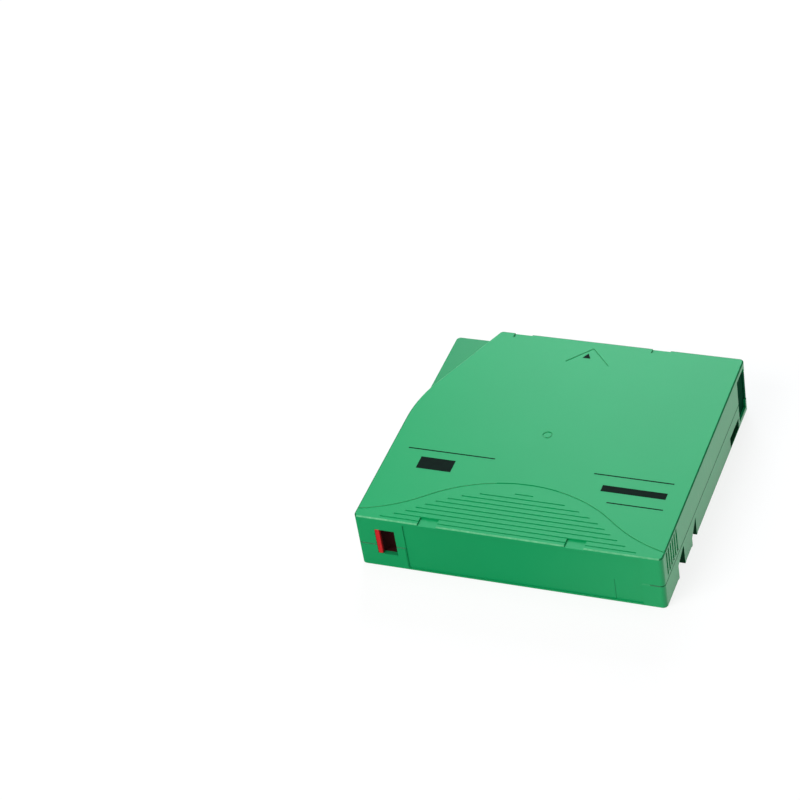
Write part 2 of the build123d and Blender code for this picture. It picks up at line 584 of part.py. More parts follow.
with BuildPart() as upper_shell:
    extrude(case_outline(0, SEAM_HEIGHT), amount=LEDGE - SEAM_HEIGHT)
    chamfer(upper_shell.faces().sort_by(Axis.Z)[0].edges(), SEAM_CHAMFER)
    fillet(upper_shell.faces().sort_by(Axis.Z)[-1].edges(), EDGE_ROUND)
    extrude(guide_outline(0, LEDGE - EDGE_ROUND), amount=LEDGE_DROP + EDGE_ROUND)
    fillet(upper_shell.faces().sort_by(Axis.Z)[-1].edges(), EDGE_ROUND)
    under_ledge = LEDGE - SIDE_WALL
    extrude(
        case_outline(SIDE_WALL, SEAM_HEIGHT), amount=under_ledge - SEAM_HEIGHT, mode=Mode.SUBTRACT
    )
    extrude(
        guide_outline(SIDE_WALL, SEAM_HEIGHT), amount=ROOF_UNDER - SEAM_HEIGHT, mode=Mode.SUBTRACT
    )
    # The rebate over the lower shell's tongue
    with BuildSketch(Plane.XY.offset(SEAM_HEIGHT)) as rebate:
        add(case_outline(SIDE_WALL - TONGUE_WIDTH - FIT_GAP, 0))
        add(case_outline(SIDE_WALL, 0), mode=Mode.SUBTRACT)
    extrude(amount=TONGUE_HEIGHT + FIT_GAP, mode=Mode.SUBTRACT)
    # The apron that carries the label down past the seam
    block(APRON_X, (LABEL, CAVITY_LABEL), (LABEL_LIP + FIT_GAP, SEAM_HEIGHT + 2 * TONGUE_HEIGHT))
    # Posts that take the screws, fences, and the key and spring seat of the brake
    posts(SCREW_PLACES[:2] + SCREW_PLACES[3:], POST_RADIUS, SEAM_HEIGHT + FIT_GAP, ROOF_UNDER)
    posts(SCREW_PLACES[2:3], POST_RADIUS, SEAM_HEIGHT + FIT_GAP, under_ledge)
    fence((225, 315), SEAM_HEIGHT + PLAY, ROOF_UNDER)
    for reach in ((KEY_REACH, KEY_WIDTH / 2), (KEY_WIDTH / 2, KEY_REACH)):
        key_x = (REEL_X - reach[0], REEL_X + reach[0])
        block(key_x, (-reach[1], reach[1]), (KEY_BOTTOM, ROOF_UNDER))
    seat_inner = BRAKE_COIL_RADIUS + BRAKE_WIRE / 2 + 3 * PLAY
    seat_outer = seat_inner + COIL_SEAT_WALL
    ring((REEL_X, 0), seat_inner, seat_outer, ROOF_UNDER - COIL_SEAT_HEIGHT, ROOF_UNDER)
    # The leader pin's seat, the door's rail and the write-protect tab's rail
    pin_seat(ROOF_UNDER - PIN_SEAT_HEIGHT, ROOF_UNDER)
    block(GUIDE_RAIL_X, GUIDE_RAIL_Y, (ROOF_UNDER - GUIDE_RAIL_HEIGHT, ROOF_UNDER))
    block(RAIL_X, RAIL_Y, (SEAM_HEIGHT + PLAY, ROOF_UNDER))
    # Pilot holes of the screws
    pilot_top = SCREW_HEAD_DEPTH + SCREW_LENGTH + 5 * PLAY
    posts(SCREW_PLACES, SCREW_RADIUS + FIT_GAP, SEAM_HEIGHT, pilot_top, Mode.SUBTRACT)
    window_and_lane()
    label_recess()
    tab_window()
    # Stacking notches in the top edge of the label end and of the leading end
    notch_z = (CASE_HEIGHT - STACK_NOTCH_DEPTH, CASE_HEIGHT)
    for notch_side in (-1, 1):
        middle = REEL_X + notch_side * STACK_NOTCH_SPREAD
        notch_x = (middle - STACK_NOTCH_WIDTH / 2, middle + STACK_NOTCH_WIDTH / 2)
        block(notch_x, (LABEL, LABEL + STACK_NOTCH_LABEL), notch_z, Mode.SUBTRACT)
        block(notch_x, (LEAD - STACK_NOTCH_LEAD, LEAD), notch_z, Mode.SUBTRACT)
    # Finger grips in both sides
    grip_z = (SEAM_HEIGHT + SIDE_GRIP_LOW, CASE_HEIGHT - SIDE_GRIP_TOP)
    for index in range(SIDE_GRIPS):
        grip_y = LABEL + SIDE_GRIP_START + index * SIDE_GRIP_PITCH
        span_y = (grip_y - SIDE_GRIP_WIDTH / 2, grip_y + SIDE_GRIP_WIDTH / 2)
        block((RIGHT - SIDE_GRIP_DEPTH, RIGHT), span_y, grip_z, Mode.SUBTRACT)
        block((LEFT, LEFT + SIDE_GRIP_DEPTH), span_y, grip_z, Mode.SUBTRACT)
    # The wave across the top: a broad arc that turns into its reverse on both sides
    mark_plane = Plane.XY.offset(CASE_HEIGHT)
    bend_x = WAVE_RADIUS * sin(radians(WAVE_TURN))
    bend_y = WAVE_APEX - WAVE_RADIUS * (1 - cos(radians(WAVE_TURN)))
    side_turn = degrees(acos((2 * bend_x - RIGHT) / WAVE_RADIUS))
    wave_low = WAVE_APEX - WAVE_RADIUS
    wave_high = 2 * bend_y - wave_low
    with BuildSketch(mark_plane):
        with BuildLine() as wave:
            CenterArc((0, wave_low), WAVE_RADIUS, 90 - WAVE_TURN, 2 * WAVE_TURN)
            reverse_span = side_turn - 90 + WAVE_TURN
            CenterArc((2 * bend_x, wave_high), WAVE_RADIUS, 270 - WAVE_TURN, reverse_span)
            CenterArc((-2 * bend_x, wave_high), WAVE_RADIUS, 270 + WAVE_TURN, -reverse_span)
        trace(wave.edges(), MARK_WIDTH)
    extrude(amount=-MARK_DEPTH, mode=Mode.SUBTRACT)
    # Grip lines inside the wave
    for index in range(GRIP_LINES):
        line_y = WAVE_APEX - GRIP_LINE_START - index * GRIP_LINE_PITCH
        half = wave_half_width(line_y + GRIP_LINE_DROP)
        line_span = (line_y - GRIP_LINE_WIDTH / 2, line_y + GRIP_LINE_WIDTH / 2)
        block((-half, half), line_span, (CASE_HEIGHT - MARK_DEPTH, CASE_HEIGHT), Mode.SUBTRACT)
    # The chevron that points at the leading edge, and the ring at the middle of the reel
    with BuildSketch(mark_plane):
        chevron_top = LEAD - CHEVRON_INSET
        with BuildLine() as chevron:
            Polyline(
                (-CHEVRON_HALF_WIDTH, chevron_top - CHEVRON_HEIGHT),
                (0, chevron_top),
                (CHEVRON_HALF_WIDTH, chevron_top - CHEVRON_HEIGHT),
            )
        trace(chevron.edges(), MARK_WIDTH)
    extrude(amount=-MARK_DEPTH, mode=Mode.SUBTRACT)
    gate_outer = GATE_RADIUS + MARK_WIDTH / 2
    ring(
        (REEL_X, 0), gate_outer - MARK_WIDTH, gate_outer, CASE_HEIGHT - MARK_DEPTH, CASE_HEIGHT,
        Mode.SUBTRACT,
    )
upper_shell.part.label = "upper_shell"
export_step(upper_shell.part, "parts/upper_shell.step")


with BuildPart() as case_screws:
    head_z = SCREW_HEAD_DEPTH - SCREW_HEAD_HEIGHT
    posts(SCREW_PLACES, SCREW_HEAD_RADIUS, head_z, SCREW_HEAD_DEPTH)
    posts(SCREW_PLACES, SCREW_RADIUS, SCREW_HEAD_DEPTH, SCREW_HEAD_DEPTH + SCREW_LENGTH)
    with BuildSketch(Plane.XY.offset(head_z)):
        with Locations(*SCREW_PLACES):
            Rectangle(SCREW_CROSS_LENGTH, SCREW_CROSS_WIDTH)
            Rectangle(SCREW_CROSS_WIDTH, SCREW_CROSS_LENGTH)
    extrude(amount=SCREW_CROSS_DEPTH, mode=Mode.SUBTRACT)
case_screws.part.label = "case_screws"
export_step(case_screws.part, "parts/case_screws.step")


with BuildPart() as sliding_door:
    # The plate, its narrower nose at the corner slit and the lip that a drive pushes back
    plate_z = (LANE_BOTTOM + PLAY, LANE_TOP - PLAY)
    nose_z = (CORNER_LOW + 1.5 * PLAY, CORNER_HIGH - 1.5 * PLAY)
    lip_front = LEAD - DOOR_LIP_RECESS
    block((DOOR_INNER, DOOR_OUTER), (DOOR_REAR, POST_LEAD), plate_z)
    block((DOOR_INNER, DOOR_OUTER), (POST_LEAD, lip_front), nose_z)
    block((DOOR_INNER, RIGHT - DOOR_LIP_RECESS), (LIP_REAR, lip_front), nose_z)
    fillet(sliding_door.edges().filter_by(Axis.Z).sort_by(Axis.X)[-1:], DOOR_LIP_RECESS)
    # The lug that the spring's arm pushes on
    block((DOOR_INNER - SPRING_LUG_DEPTH, DOOR_INNER), LUG_Y, LUG_Z)
sliding_door.part.label = "sliding_door"
export_step(sliding_door.part, "parts/sliding_door.step")


with BuildPart() as door_spring:
    # One wire: the arm to its stop, the coil about the door's screw post and the arm to the door's lug
    lug_way = (
        DOOR_INNER - SPRING_LUG_DEPTH / 2 - DOOR_POST[0],
        LUG_Y[0] - FIT_GAP - DOOR_WIRE / 2 - DOOR_POST[1],
    )
    lug_distance = hypot(*lug_way)
    end_angle = degrees(atan2(lug_way[1], lug_way[0]) - acos(COIL_RADIUS / lug_distance))
    coil_height = COIL_PITCH * (DOOR_COIL_TURNS + end_angle / 360)
    with BuildLine() as spring_path:
        coil = Helix(COIL_PITCH, coil_height, COIL_RADIUS, (*DOOR_POST, COIL_BOTTOM))
        Line(coil @ 0 - (coil % 0) * DOOR_SPRING_ARM, coil @ 0)
        Line(coil @ 1, coil @ 1 + (coil % 1) * sqrt(lug_distance**2 - COIL_RADIUS**2))
    spring_wire = spring_path.wires()[0]
    with BuildSketch(Plane(origin=spring_wire @ 0, z_dir=spring_wire % 0)):
        RegularPolygon(DOOR_WIRE / 2, WIRE_SIDES)
    sweep(path=spring_wire)
door_spring.part.label = "door_spring"
export_step(door_spring.part, "parts/door_spring.step")


with BuildPart() as write_protect_tab:
    # The block that slides behind the label wall, its nose in the window and the scooped face
    block((TAB_LEFT, TAB_RIGHT), (TAB_FRONT, TAB_BACK), (FLOOR + PLAY, ROOF_UNDER - PLAY))
    nose_left = LEFT + TAB_WINDOW_LEFT + PLAY
    nose_right = nose_left + TAB_NOSE
    window_z = (TAB_WINDOW_SILL + PLAY, TAB_WINDOW_SILL + TAB_WINDOW_HEIGHT - PLAY)
    nose_face = LABEL + TAB_NOSE_RECESS
    block((nose_left, nose_right + TAB_NOSE), (nose_face, TAB_FRONT), window_z)
    with BuildSketch(Plane.XY.offset(window_z[0])):
        with Locations((nose_right + TAB_SCOOP, nose_face)):
            Circle(TAB_SCOOP)
    extrude(amount=window_z[1] - window_z[0], mode=Mode.SUBTRACT)
write_protect_tab.part.label = "write_protect_tab"
export_step(write_protect_tab.part, "parts/write_protect_tab.step")


with BuildPart() as memory_board:
    with BuildSketch(BOARD_PLANE):
        Rectangle(BOARD_WIDTH, BOARD_HEIGHT)
    extrude(amount=-BOARD_THICKNESS)
memory_board.part.label = "memory_board"
export_step(memory_board.part, "parts/memory_board.step")


with BuildPart() as memory_antenna:
    with BuildSketch(BOARD_PLANE):
        antenna_width = BOARD_WIDTH - GUSSET - 2 * ANTENNA_MARGIN
        antenna_height = BOARD_HEIGHT - 2 * ANTENNA_MARGIN
        RectangleRounded(antenna_width, antenna_height, ANTENNA_TRACK)
        inner_width = antenna_width - 2 * ANTENNA_TRACK
        inner_height = antenna_height - 2 * ANTENNA_TRACK
        Rectangle(inner_width, inner_height, mode=Mode.SUBTRACT)
    extrude(amount=ANTENNA_THICKNESS)
memory_antenna.part.label = "memory_antenna"
export_step(memory_antenna.part, "parts/memory_antenna.step")


with BuildPart() as memory_chip:
    with BuildSketch(BOARD_PLANE.offset(-BOARD_THICKNESS)):
        Rectangle(CHIP_SIZE, CHIP_SIZE)
    extrude(amount=-CHIP_THICKNESS)
memory_chip.part.label = "memory_chip"
export_step(memory_chip.part, "parts/memory_chip.step")


with BuildPart() as reel_hub:
    # The hub cup with the lower flange in one piece, turned about the reel's axis
    with BuildSketch(Plane(origin=(REEL_X, 0, 0), x_dir=(1, 0, 0), z_dir=(0, -1, 0))):
        with BuildLine():
            Polyline(
                (0, REEL_BOTTOM),
                (FLANGE_RADIUS, REEL_BOTTOM),
                (FLANGE_RADIUS, PACK_FLOOR),
                (HUB_RADIUS, PACK_FLOOR),
                (HUB_RADIUS, PACK_ROOF),
                (HUB_RADIUS - FLANGE_STEP, PACK_ROOF),
                (HUB_RADIUS - FLANGE_STEP, REEL_TOP),
                (CUP_RADIUS, REEL_TOP),
                (CUP_RADIUS, HUB_TOP),
                (0, HUB_TOP),
                close=True,
            )
        make_face()
    revolve(axis=Axis((REEL_X, 0, 0), (0, 0, 1)))
    # The chuck ring under the hub, and the spigot that centres the clutch plate
    chuck_root = REEL_BOTTOM - CHUCK_BASE
    ring((REEL_X, 0), CHUCK_INNER, CHUCK_OUTER, chuck_root, REEL_BOTTOM)
    posts([(REEL_X, 0)], PLATE_BORE - PLAY, chuck_root, REEL_BOTTOM)
    chuck_tip = chuck_root - CHUCK_TOOTH_HEIGHT
    chuck_widths = (CHUCK_TOOTH_ROOT, CHUCK_TOOTH_TIP)
    chuck_tooth = radial_tooth((CHUCK_INNER, CHUCK_OUTER), (chuck_root, chuck_tip), chuck_widths)
    brake_radii = (BRAKE_INNER, BRAKE_OUTER)
    brake_widths = (BRAKE_TOOTH_ROOT, BRAKE_TOOTH_TIP)
    brake_tooth = radial_tooth(brake_radii, (HUB_TOP, HUB_TOP + BRAKE_TOOTH_HEIGHT), brake_widths)
    with Locations((REEL_X, 0)):
        with PolarLocations(0, CHUCK_TEETH):
            add(chuck_tooth)
        with PolarLocations(0, BRAKE_TEETH):
            add(brake_tooth)
    # Windows for the release pad's three legs
    with BuildSketch(Plane.XY.offset(chuck_tip)):
        with Locations((REEL_X, 0)):
            with PolarLocations(LEG_RADIUS, 3):
                Rectangle(LEG_THICKNESS + 2 * LEG_PLAY, LEG_WIDTH + 2 * LEG_PLAY)
    extrude(amount=HUB_TOP - chuck_tip, mode=Mode.SUBTRACT)
reel_hub.part.label = "reel_hub"
export_step(reel_hub.part, "parts/reel_hub.step")


with BuildPart() as upper_flange:
    ring((REEL_X, 0), HUB_RADIUS - FLANGE_STEP + FIT_GAP, FLANGE_RADIUS, PACK_ROOF, REEL_TOP)
upper_flange.part.label = "upper_flange"
export_step(upper_flange.part, "parts/upper_flange.step")


with BuildPart() as clutch_plate:
    ring((REEL_X, 0), PLATE_BORE, PLATE_RADIUS, REEL_BOTTOM - PLATE_THICKNESS, REEL_BOTTOM)
clutch_plate.part.label = "clutch_plate"
export_step(clutch_plate.part, "parts/clutch_plate.step")


with BuildPart() as tape_pack:
    ring((REEL_X, 0), HUB_RADIUS + FIT_GAP, PACK_RADIUS, TAPE_BOTTOM, TAPE_BOTTOM + TAPE_WIDTH)
tape_pack.part.label = "tape_pack"
export_step(tape_pack.part, "parts/tape_pack.step")


with BuildPart() as release_pad:
    # A three-cornered plate on the hub's floor, with a leg down through each window
    with BuildSketch(Plane.XY.offset(PAD_BOTTOM)) as pad_outline:
        with Locations((REEL_X, 0)):
            RegularPolygon(LEG_RADIUS + LEG_THICKNESS / 2 + PLAY + PAD_CORNER, 3)
        fillet(pad_outline.vertices(), PAD_CORNER)
    extrude(amount=PAD_THICKNESS)
    posts([(REEL_X, 0)], PAD_PIP_RADIUS, PAD_BOTTOM, PIP_TOP)
    with BuildSketch(Plane.XY.offset(PAD_BOTTOM)):
        with Locations((REEL_X, 0)):
            with PolarLocations(LEG_RADIUS, 3):
                Rectangle(LEG_THICKNESS, LEG_WIDTH)
    extrude(amount=-LEG_LENGTH)
release_pad.part.label = "release_pad"
export_step(release_pad.part, "parts/release_pad.step")


with BuildPart() as brake:
    # The disc with its ring of teeth, and the slotted boss that the roof's key holds
    tooth_base = HUB_TOP + BRAKE_TOOTH_HEIGHT + TOOTH_PLAY
    posts([(REEL_X, 0)], BRAKE_OUTER, DISC_BOTTOM, DISC_TOP)
    ring((REEL_X, 0), BRAKE_INNER, BRAKE_OUTER, tooth_base, DISC_BOTTOM)
    lock_tooth = radial_tooth(brake_radii, (tooth_base, tooth_base - BRAKE_TOOTH_HEIGHT), brake_widths)
    with Locations((REEL_X, 0)):
        with PolarLocations(0, BRAKE_TEETH, start_angle=180 / BRAKE_TEETH):
            add(lock_tooth)
    ring((REEL_X, 0), BOSS_INNER, BOSS_OUTER, DISC_TOP, BOSS_TOP)
    slot_half = KEY_WIDTH / 2 + PLAY
    slot_z = (DISC_TOP, BOSS_TOP)
    block((REEL_X - BOSS_OUTER, REEL_X + BOSS_OUTER), (-slot_half, slot_half), slot_z, Mode.SUBTRACT)
    block((REEL_X - slot_half, REEL_X + slot_half), (-BOSS_OUTER, BOSS_OUTER), slot_z, Mode.SUBTRACT)
brake.part.label = "brake"
export_step(brake.part, "parts/brake.step")


with BuildPart() as brake_spring:
    spring_bottom = DISC_TOP + BRAKE_WIRE / 2 + FIT_GAP
    spring_height = ROOF_UNDER - BRAKE_WIRE / 2 - FIT_GAP - spring_bottom
    with BuildLine() as brake_coil:
        Helix(
            spring_height / BRAKE_TURNS, spring_height, BRAKE_COIL_RADIUS, (REEL_X, 0, spring_bottom)
        )
    brake_coil_wire = brake_coil.wires()[0]
    with BuildSketch(Plane(origin=brake_coil_wire @ 0, z_dir=brake_coil_wire % 0)):
        RegularPolygon(BRAKE_WIRE / 2, WIRE_SIDES)
    sweep(path=brake_coil_wire)
brake_spring.part.label = "brake_spring"
export_step(brake_spring.part, "parts/brake_spring.step")


with BuildPart() as leader_pin:
    # Turned steel: end flanges, necks for the drive's hook, collars and the shaft between them
    pin_low = FLOOR + PLAY
    pin_high = ROOF_UNDER - PLAY
    collar_low = PACK_FLOOR - FIT_GAP
    collar_high = PACK_ROOF + FIT_GAP
    with BuildSketch(Plane(origin=(*PIN, 0), x_dir=(1, 0, 0), z_dir=(0, -1, 0))):
        with BuildLine():
            Polyline(
                (0, pin_low),
                (PIN_FLANGE_RADIUS, pin_low),
                (PIN_FLANGE_RADIUS, pin_low + PIN_FLANGE),
                (PIN_NECK_RADIUS, pin_low + PIN_FLANGE),
                (PIN_NECK_RADIUS, collar_low - PIN_COLLAR),
                (PIN_COLLAR_RADIUS, collar_low - PIN_COLLAR),
                (PIN_COLLAR_RADIUS, collar_low),
                (PIN_SHAFT_RADIUS, collar_low),
                (PIN_SHAFT_RADIUS, collar_high),
                (PIN_COLLAR_RADIUS, collar_high),
                (PIN_COLLAR_RADIUS, collar_high + PIN_COLLAR),
                (PIN_NECK_RADIUS, collar_high + PIN_COLLAR),
                (PIN_NECK_RADIUS, pin_high - PIN_FLANGE),
                (PIN_FLANGE_RADIUS, pin_high - PIN_FLANGE),
                (PIN_FLANGE_RADIUS, pin_high),
                (0, pin_high),
                close=True,
            )
        make_face()
    revolve(axis=Axis((*PIN, 0), (0, 0, 1)))
leader_pin.part.label = "leader_pin"
export_step(leader_pin.part, "parts/leader_pin.step")


with BuildPart() as leader_pin_clip:
    # A C-shaped sleeve that grips the tape's end on the pin's shaft
    clip_inner = PIN_SHAFT_RADIUS + FIT_GAP
    clip_outer = clip_inner + CLIP_WALL
    clip_bottom = PACK_FLOOR + CLIP_SHORTER
    clip_top = PACK_ROOF - CLIP_SHORTER
    ring(PIN, clip_inner, clip_outer, clip_bottom, clip_top)
    mouth_y = (PIN[1] - CLIP_MOUTH / 2, PIN[1] + CLIP_MOUTH / 2)
    block((PIN[0], PIN[0] + clip_outer), mouth_y, (clip_bottom, clip_top), Mode.SUBTRACT)
leader_pin_clip.part.label = "leader_pin_clip"
export_step(leader_pin_clip.part, "parts/leader_pin_clip.step")


with BuildPart() as tape_leader:
    # The free end of the tape, from where it leaves the pack to the clip on the pin
    strip_radius = PACK_RADIUS + FIT_GAP + LEADER_THICKNESS / 2
    pin_way = (PIN[0] - REEL_X, PIN[1])
    pin_distance = hypot(*pin_way)
    leave_angle = atan2(pin_way[1], pin_way[0]) + acos(strip_radius / pin_distance)
    leave = (REEL_X + strip_radius * cos(leave_angle), strip_radius * sin(leave_angle))
    strip_run = sqrt(pin_distance**2 - strip_radius**2)
    strip_length = strip_run - clip_outer - FIT_GAP
    strip_share = strip_length / 2 / strip_run
    strip_middle = (
        leave[0] + (PIN[0] - leave[0]) * strip_share,
        leave[1] + (PIN[1] - leave[1]) * strip_share,
    )
    with BuildSketch(Plane.XY.offset(TAPE_BOTTOM)):
        with Locations(strip_middle):
            Rectangle(strip_length, LEADER_THICKNESS, rotation=degrees(leave_angle) - 90)
    extrude(amount=TAPE_WIDTH)
tape_leader.part.label = "tape_leader"
export_step(tape_leader.part, "parts/tape_leader.step")


with BuildPart() as leader_pin_spring:
    # A bent leaf: its web stands against the leading wall, two fingers hook round the pin's flanges
    leaf_z = (FLOOR + 2 * PLAY, ROOF_UNDER - 2 * PLAY)
    web_y = LEAF_FACE + LEAF_THICKNESS / 2
    arm_x = PIN[0] + PIN_FLANGE_RADIUS + LEAF_STANDOFF
    with BuildSketch(Plane.XY.offset(leaf_z[0])):
        with BuildLine() as leaf:
            FilletPolyline(
                (LEAF_START, web_y), (arm_x, web_y), (arm_x, PIN[1] + LEAF_ARM_END), radius=LEAF_BEND
            )
        trace(leaf.edges(), LEAF_THICKNESS)
    extrude(amount=leaf_z[1] - leaf_z[0])
    between_fingers = (leaf_z[0] + LEAF_FINGER, leaf_z[1] - LEAF_FINGER)
    block((PIN[0] - PIN_FLANGE_RADIUS, RIGHT), (PIN[1], LEAD), between_fingers, Mode.SUBTRACT)
leader_pin_spring.part.label = "leader_pin_spring"
export_step(leader_pin_spring.part, "parts/leader_pin_spring.step")
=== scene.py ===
"""Looks of a single-reel data tape cartridge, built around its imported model.

Metres, in the model's own frame: +Z up, +Y the leading edge, -Y the label end, the sliding door at +X.
Sizes are written in millimetres and multiplied by MM where they meet the meshes.
"""

import logging
import math
from dataclasses import dataclass, field, fields
from enum import Enum

import bmesh
import bpy
import numpy as np
from mathutils import Matrix, Vector


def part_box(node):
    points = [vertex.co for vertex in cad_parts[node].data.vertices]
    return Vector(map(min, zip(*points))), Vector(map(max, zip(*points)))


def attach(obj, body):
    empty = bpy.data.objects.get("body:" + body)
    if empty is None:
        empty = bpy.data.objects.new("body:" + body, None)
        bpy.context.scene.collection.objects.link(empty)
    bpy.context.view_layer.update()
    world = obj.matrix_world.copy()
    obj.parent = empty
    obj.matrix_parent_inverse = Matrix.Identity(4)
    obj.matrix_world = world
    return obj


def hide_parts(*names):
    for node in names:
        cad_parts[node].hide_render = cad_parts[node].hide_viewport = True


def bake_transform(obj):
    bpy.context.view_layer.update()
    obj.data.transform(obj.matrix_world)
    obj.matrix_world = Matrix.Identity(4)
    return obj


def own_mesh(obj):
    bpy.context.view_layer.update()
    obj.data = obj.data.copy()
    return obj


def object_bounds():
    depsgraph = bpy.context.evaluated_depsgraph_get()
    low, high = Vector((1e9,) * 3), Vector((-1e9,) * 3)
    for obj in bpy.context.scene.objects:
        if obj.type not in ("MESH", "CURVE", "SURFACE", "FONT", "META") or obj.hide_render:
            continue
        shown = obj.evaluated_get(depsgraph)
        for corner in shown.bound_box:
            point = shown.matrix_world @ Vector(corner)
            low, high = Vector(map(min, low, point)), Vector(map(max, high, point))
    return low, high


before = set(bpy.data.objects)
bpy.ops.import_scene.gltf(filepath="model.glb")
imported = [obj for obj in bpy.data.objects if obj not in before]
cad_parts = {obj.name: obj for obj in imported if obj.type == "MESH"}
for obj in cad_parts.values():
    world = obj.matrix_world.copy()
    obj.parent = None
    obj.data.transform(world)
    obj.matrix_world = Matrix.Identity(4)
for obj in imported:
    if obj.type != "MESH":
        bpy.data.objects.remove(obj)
CAD_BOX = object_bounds()

# Lengths are in metres, the area in square metres and angles in degrees.
MM = 0.001
LOOSE = 0.0003
EDGE = 0.001
# Painted shade kept on the roof's side and back edges, as a recess value.
PAINTED_EDGE_SHADE = 0.7
ROUNDING_AREA = 0.00006
ROUNDING_DEPTH = 0.0006
ROUNDING_HEIGHT = 0.02
RECESS_START = 0.0005
RECESS_RANGE = 0.0007
DOWNWARD = -0.5
SLANTING = 0.98
PIECE_WELD = 0.0000001
CAD_WELD = 0.000002
FLAT_ANGLE = 0.5
CRISP_ANGLE = 35.0
GUIDE_ANGLE = 23.2
LEDGE_HEIGHT = 0.0165
LOG = logging.getLogger("cartridge")

Rgb = tuple[float, float, float]
Point = tuple[float, float, float]
Node = bpy.types.Node
Socket = bpy.types.NodeSocket
Tree = bpy.types.NodeTree
Material = bpy.types.Material


class Body(Enum):
    """The rigid bodies that this script's own pieces ride on."""

    CASE = "case"
    DOOR = "door"
    TAB = "protect_tab"


class Slot(Enum):
    """Material slot names, listed with the case's skins; the script gives no piece a slot."""

    CASE = "green_case"
    DOOR = "green_door"
    TAB = "red_tab"
    STEEL = "steel"
    SPRING = "spring_wire"
    CLIP = "clip_plastic"


# Shader node helpers


def new_group(name: str, inputs: dict[str, float], outputs: tuple[str, ...]) -> Tree:
    """Makes an empty shader node group with named sockets.

    Args:
        name: the group's name.
        inputs: the name and default of each number that goes in.
        outputs: the name of each number that comes out.

    Returns:
        The node tree, with its Group Input and Group Output nodes in place.
    """
    tree = bpy.data.node_groups.new(name, "ShaderNodeTree")
    tree.interface.new_socket("Vector", in_out="INPUT", socket_type="NodeSocketVector")
    for label, default in inputs.items():
        made = tree.interface.new_socket(label, in_out="INPUT", socket_type="NodeSocketFloat")
        made.default_value = default
    for label in outputs:
        tree.interface.new_socket(label, in_out="OUTPUT", socket_type="NodeSocketFloat")
    tree.nodes.new("NodeGroupInput")
    tree.nodes.new("NodeGroupOutput")
    return tree


def colours_of(sockets: bpy.types.bpy_prop_collection) -> list[Socket]:
    """Returns the sockets that hold a colour."""
    return [socket for socket in sockets if socket.type == "RGBA"]


def ends(tree: Tree) -> tuple[Node, Node]:
    """Returns a group's input and output nodes."""
    return tree.nodes["Group Input"], tree.nodes["Group Output"]


def put(tree: Tree, socket: Socket, value: object) -> None:
    """Gives an input socket its value, by a link from another socket or as a constant.

    Args:
        tree: the tree that holds the sockets.
        socket: the input socket.
        value: a socket or a constant.
    """
    if isinstance(value, Socket):
        tree.links.new(value, socket)
    else:
        socket.default_value = value


def add_node(tree: Tree, kind: str, **values: object) -> Node:
    """Adds a shader node and gives its inputs their values.

    Args:
        tree: the tree that gets the node.
        kind: the node's type, without the word ShaderNode in front.
        values: sockets or constants by the inputs' names, with an underscore for each space.

    Returns:
        The node.
    """
    node = tree.nodes.new(f"ShaderNode{kind}")
    for name, value in values.items():
        put(tree, node.inputs[name.replace("_", " ")], value)
    return node


def math_node(
    tree: Tree, operation: str, first: float | Socket, second: float | Socket = 0.0
) -> Socket:
    """Adds a Math node and returns its result.

    Args:
        tree: the tree that gets the node.
        operation: the Math node's operation.
        first: a socket or a number.
        second: a socket or a number.

    Returns:
        The output socket.
    """
    node = add_node(tree, "Math")
    node.operation = operation
    for socket, value in zip(node.inputs, (first, second)):
        put(tree, socket, value)
    return node.outputs[0]


def times(tree: Tree, first: float | Socket, second: float | Socket) -> Socket:
    """Multiplies two values and returns the result."""
    return math_node(tree, "MULTIPLY", first, second)


def map_range(tree: Tree, value: Socket, **limits: float) -> Socket:
    """Adds a Map Range node with the limits by name, and returns its result."""
    return add_node(tree, "MapRange", Value=value, **limits).outputs["Result"]


def noise(tree: Tree, vector: Socket, scale: float | Socket, detail: float) -> Socket:
    """Adds a Noise texture, of so many cells to the metre, and returns its factor."""
    return add_node(tree, "TexNoise", Vector=vector, Scale=scale, Detail=detail).outputs["Fac"]


def scaled(colour: Rgb, share: float) -> Rgb:
    """Returns a colour multiplied by a share."""
    return tuple(value * share for value in colour)


def moulded_grain_group() -> Tree:
    """Builds the fine spark-eroded grain that a mould leaves: a height, and a slow cloudiness.

    Returns:
        The group: its height is 0.6 of a fine noise and 0.4 of one at 0.3 of the scale.
    """
    inputs = {"Grain Scale": 9000.0, "Cloud Scale": 60.0}
    tree = new_group("moulded_grain", inputs, ("Height", "Cloud"))
    source, result = ends(tree)
    fine = noise(tree, source.outputs["Vector"], source.outputs["Grain Scale"], 2.0)
    wider = times(tree, source.outputs["Grain Scale"], 0.3)
    coarse = noise(tree, source.outputs["Vector"], wider, 1.0)
    fine_share = times(tree, fine, 0.6)
    height = math_node(tree, "ADD", fine_share, times(tree, coarse, 0.4))
    tree.links.new(height, result.inputs["Height"])
    cloud = noise(tree, source.outputs["Vector"], source.outputs["Cloud Scale"], 4.0)
    tree.links.new(cloud, result.inputs["Cloud"])
    return tree


def handling_group() -> Tree:
    """Builds faint rubs and fine scratches from handling, as one mask.

    Returns:
        The group: the ridges of a noise stretched along one direction, in patches.
    """
    tree = new_group("handling", {"Rub Scale": 90.0}, ("Rubs",))
    source, result = ends(tree)
    turned = (0.0, 0.0, math.radians(24.0))
    stretch = add_node(
        tree, "Mapping", Vector=source.outputs["Vector"], Scale=(1.0, 14.0, 1.0), Rotation=turned
    )
    lines = noise(tree, stretch.outputs["Vector"], source.outputs["Rub Scale"], 5.0)
    wider = times(tree, source.outputs["Rub Scale"], 0.4)
    patches = noise(tree, source.outputs["Vector"], wider, 2.0)
    ridge = map_range(tree, lines, From_Min=0.60, From_Max=0.74)
    mask = times(tree, ridge, patches)
    tree.links.new(mask, result.inputs["Rubs"])
    return tree


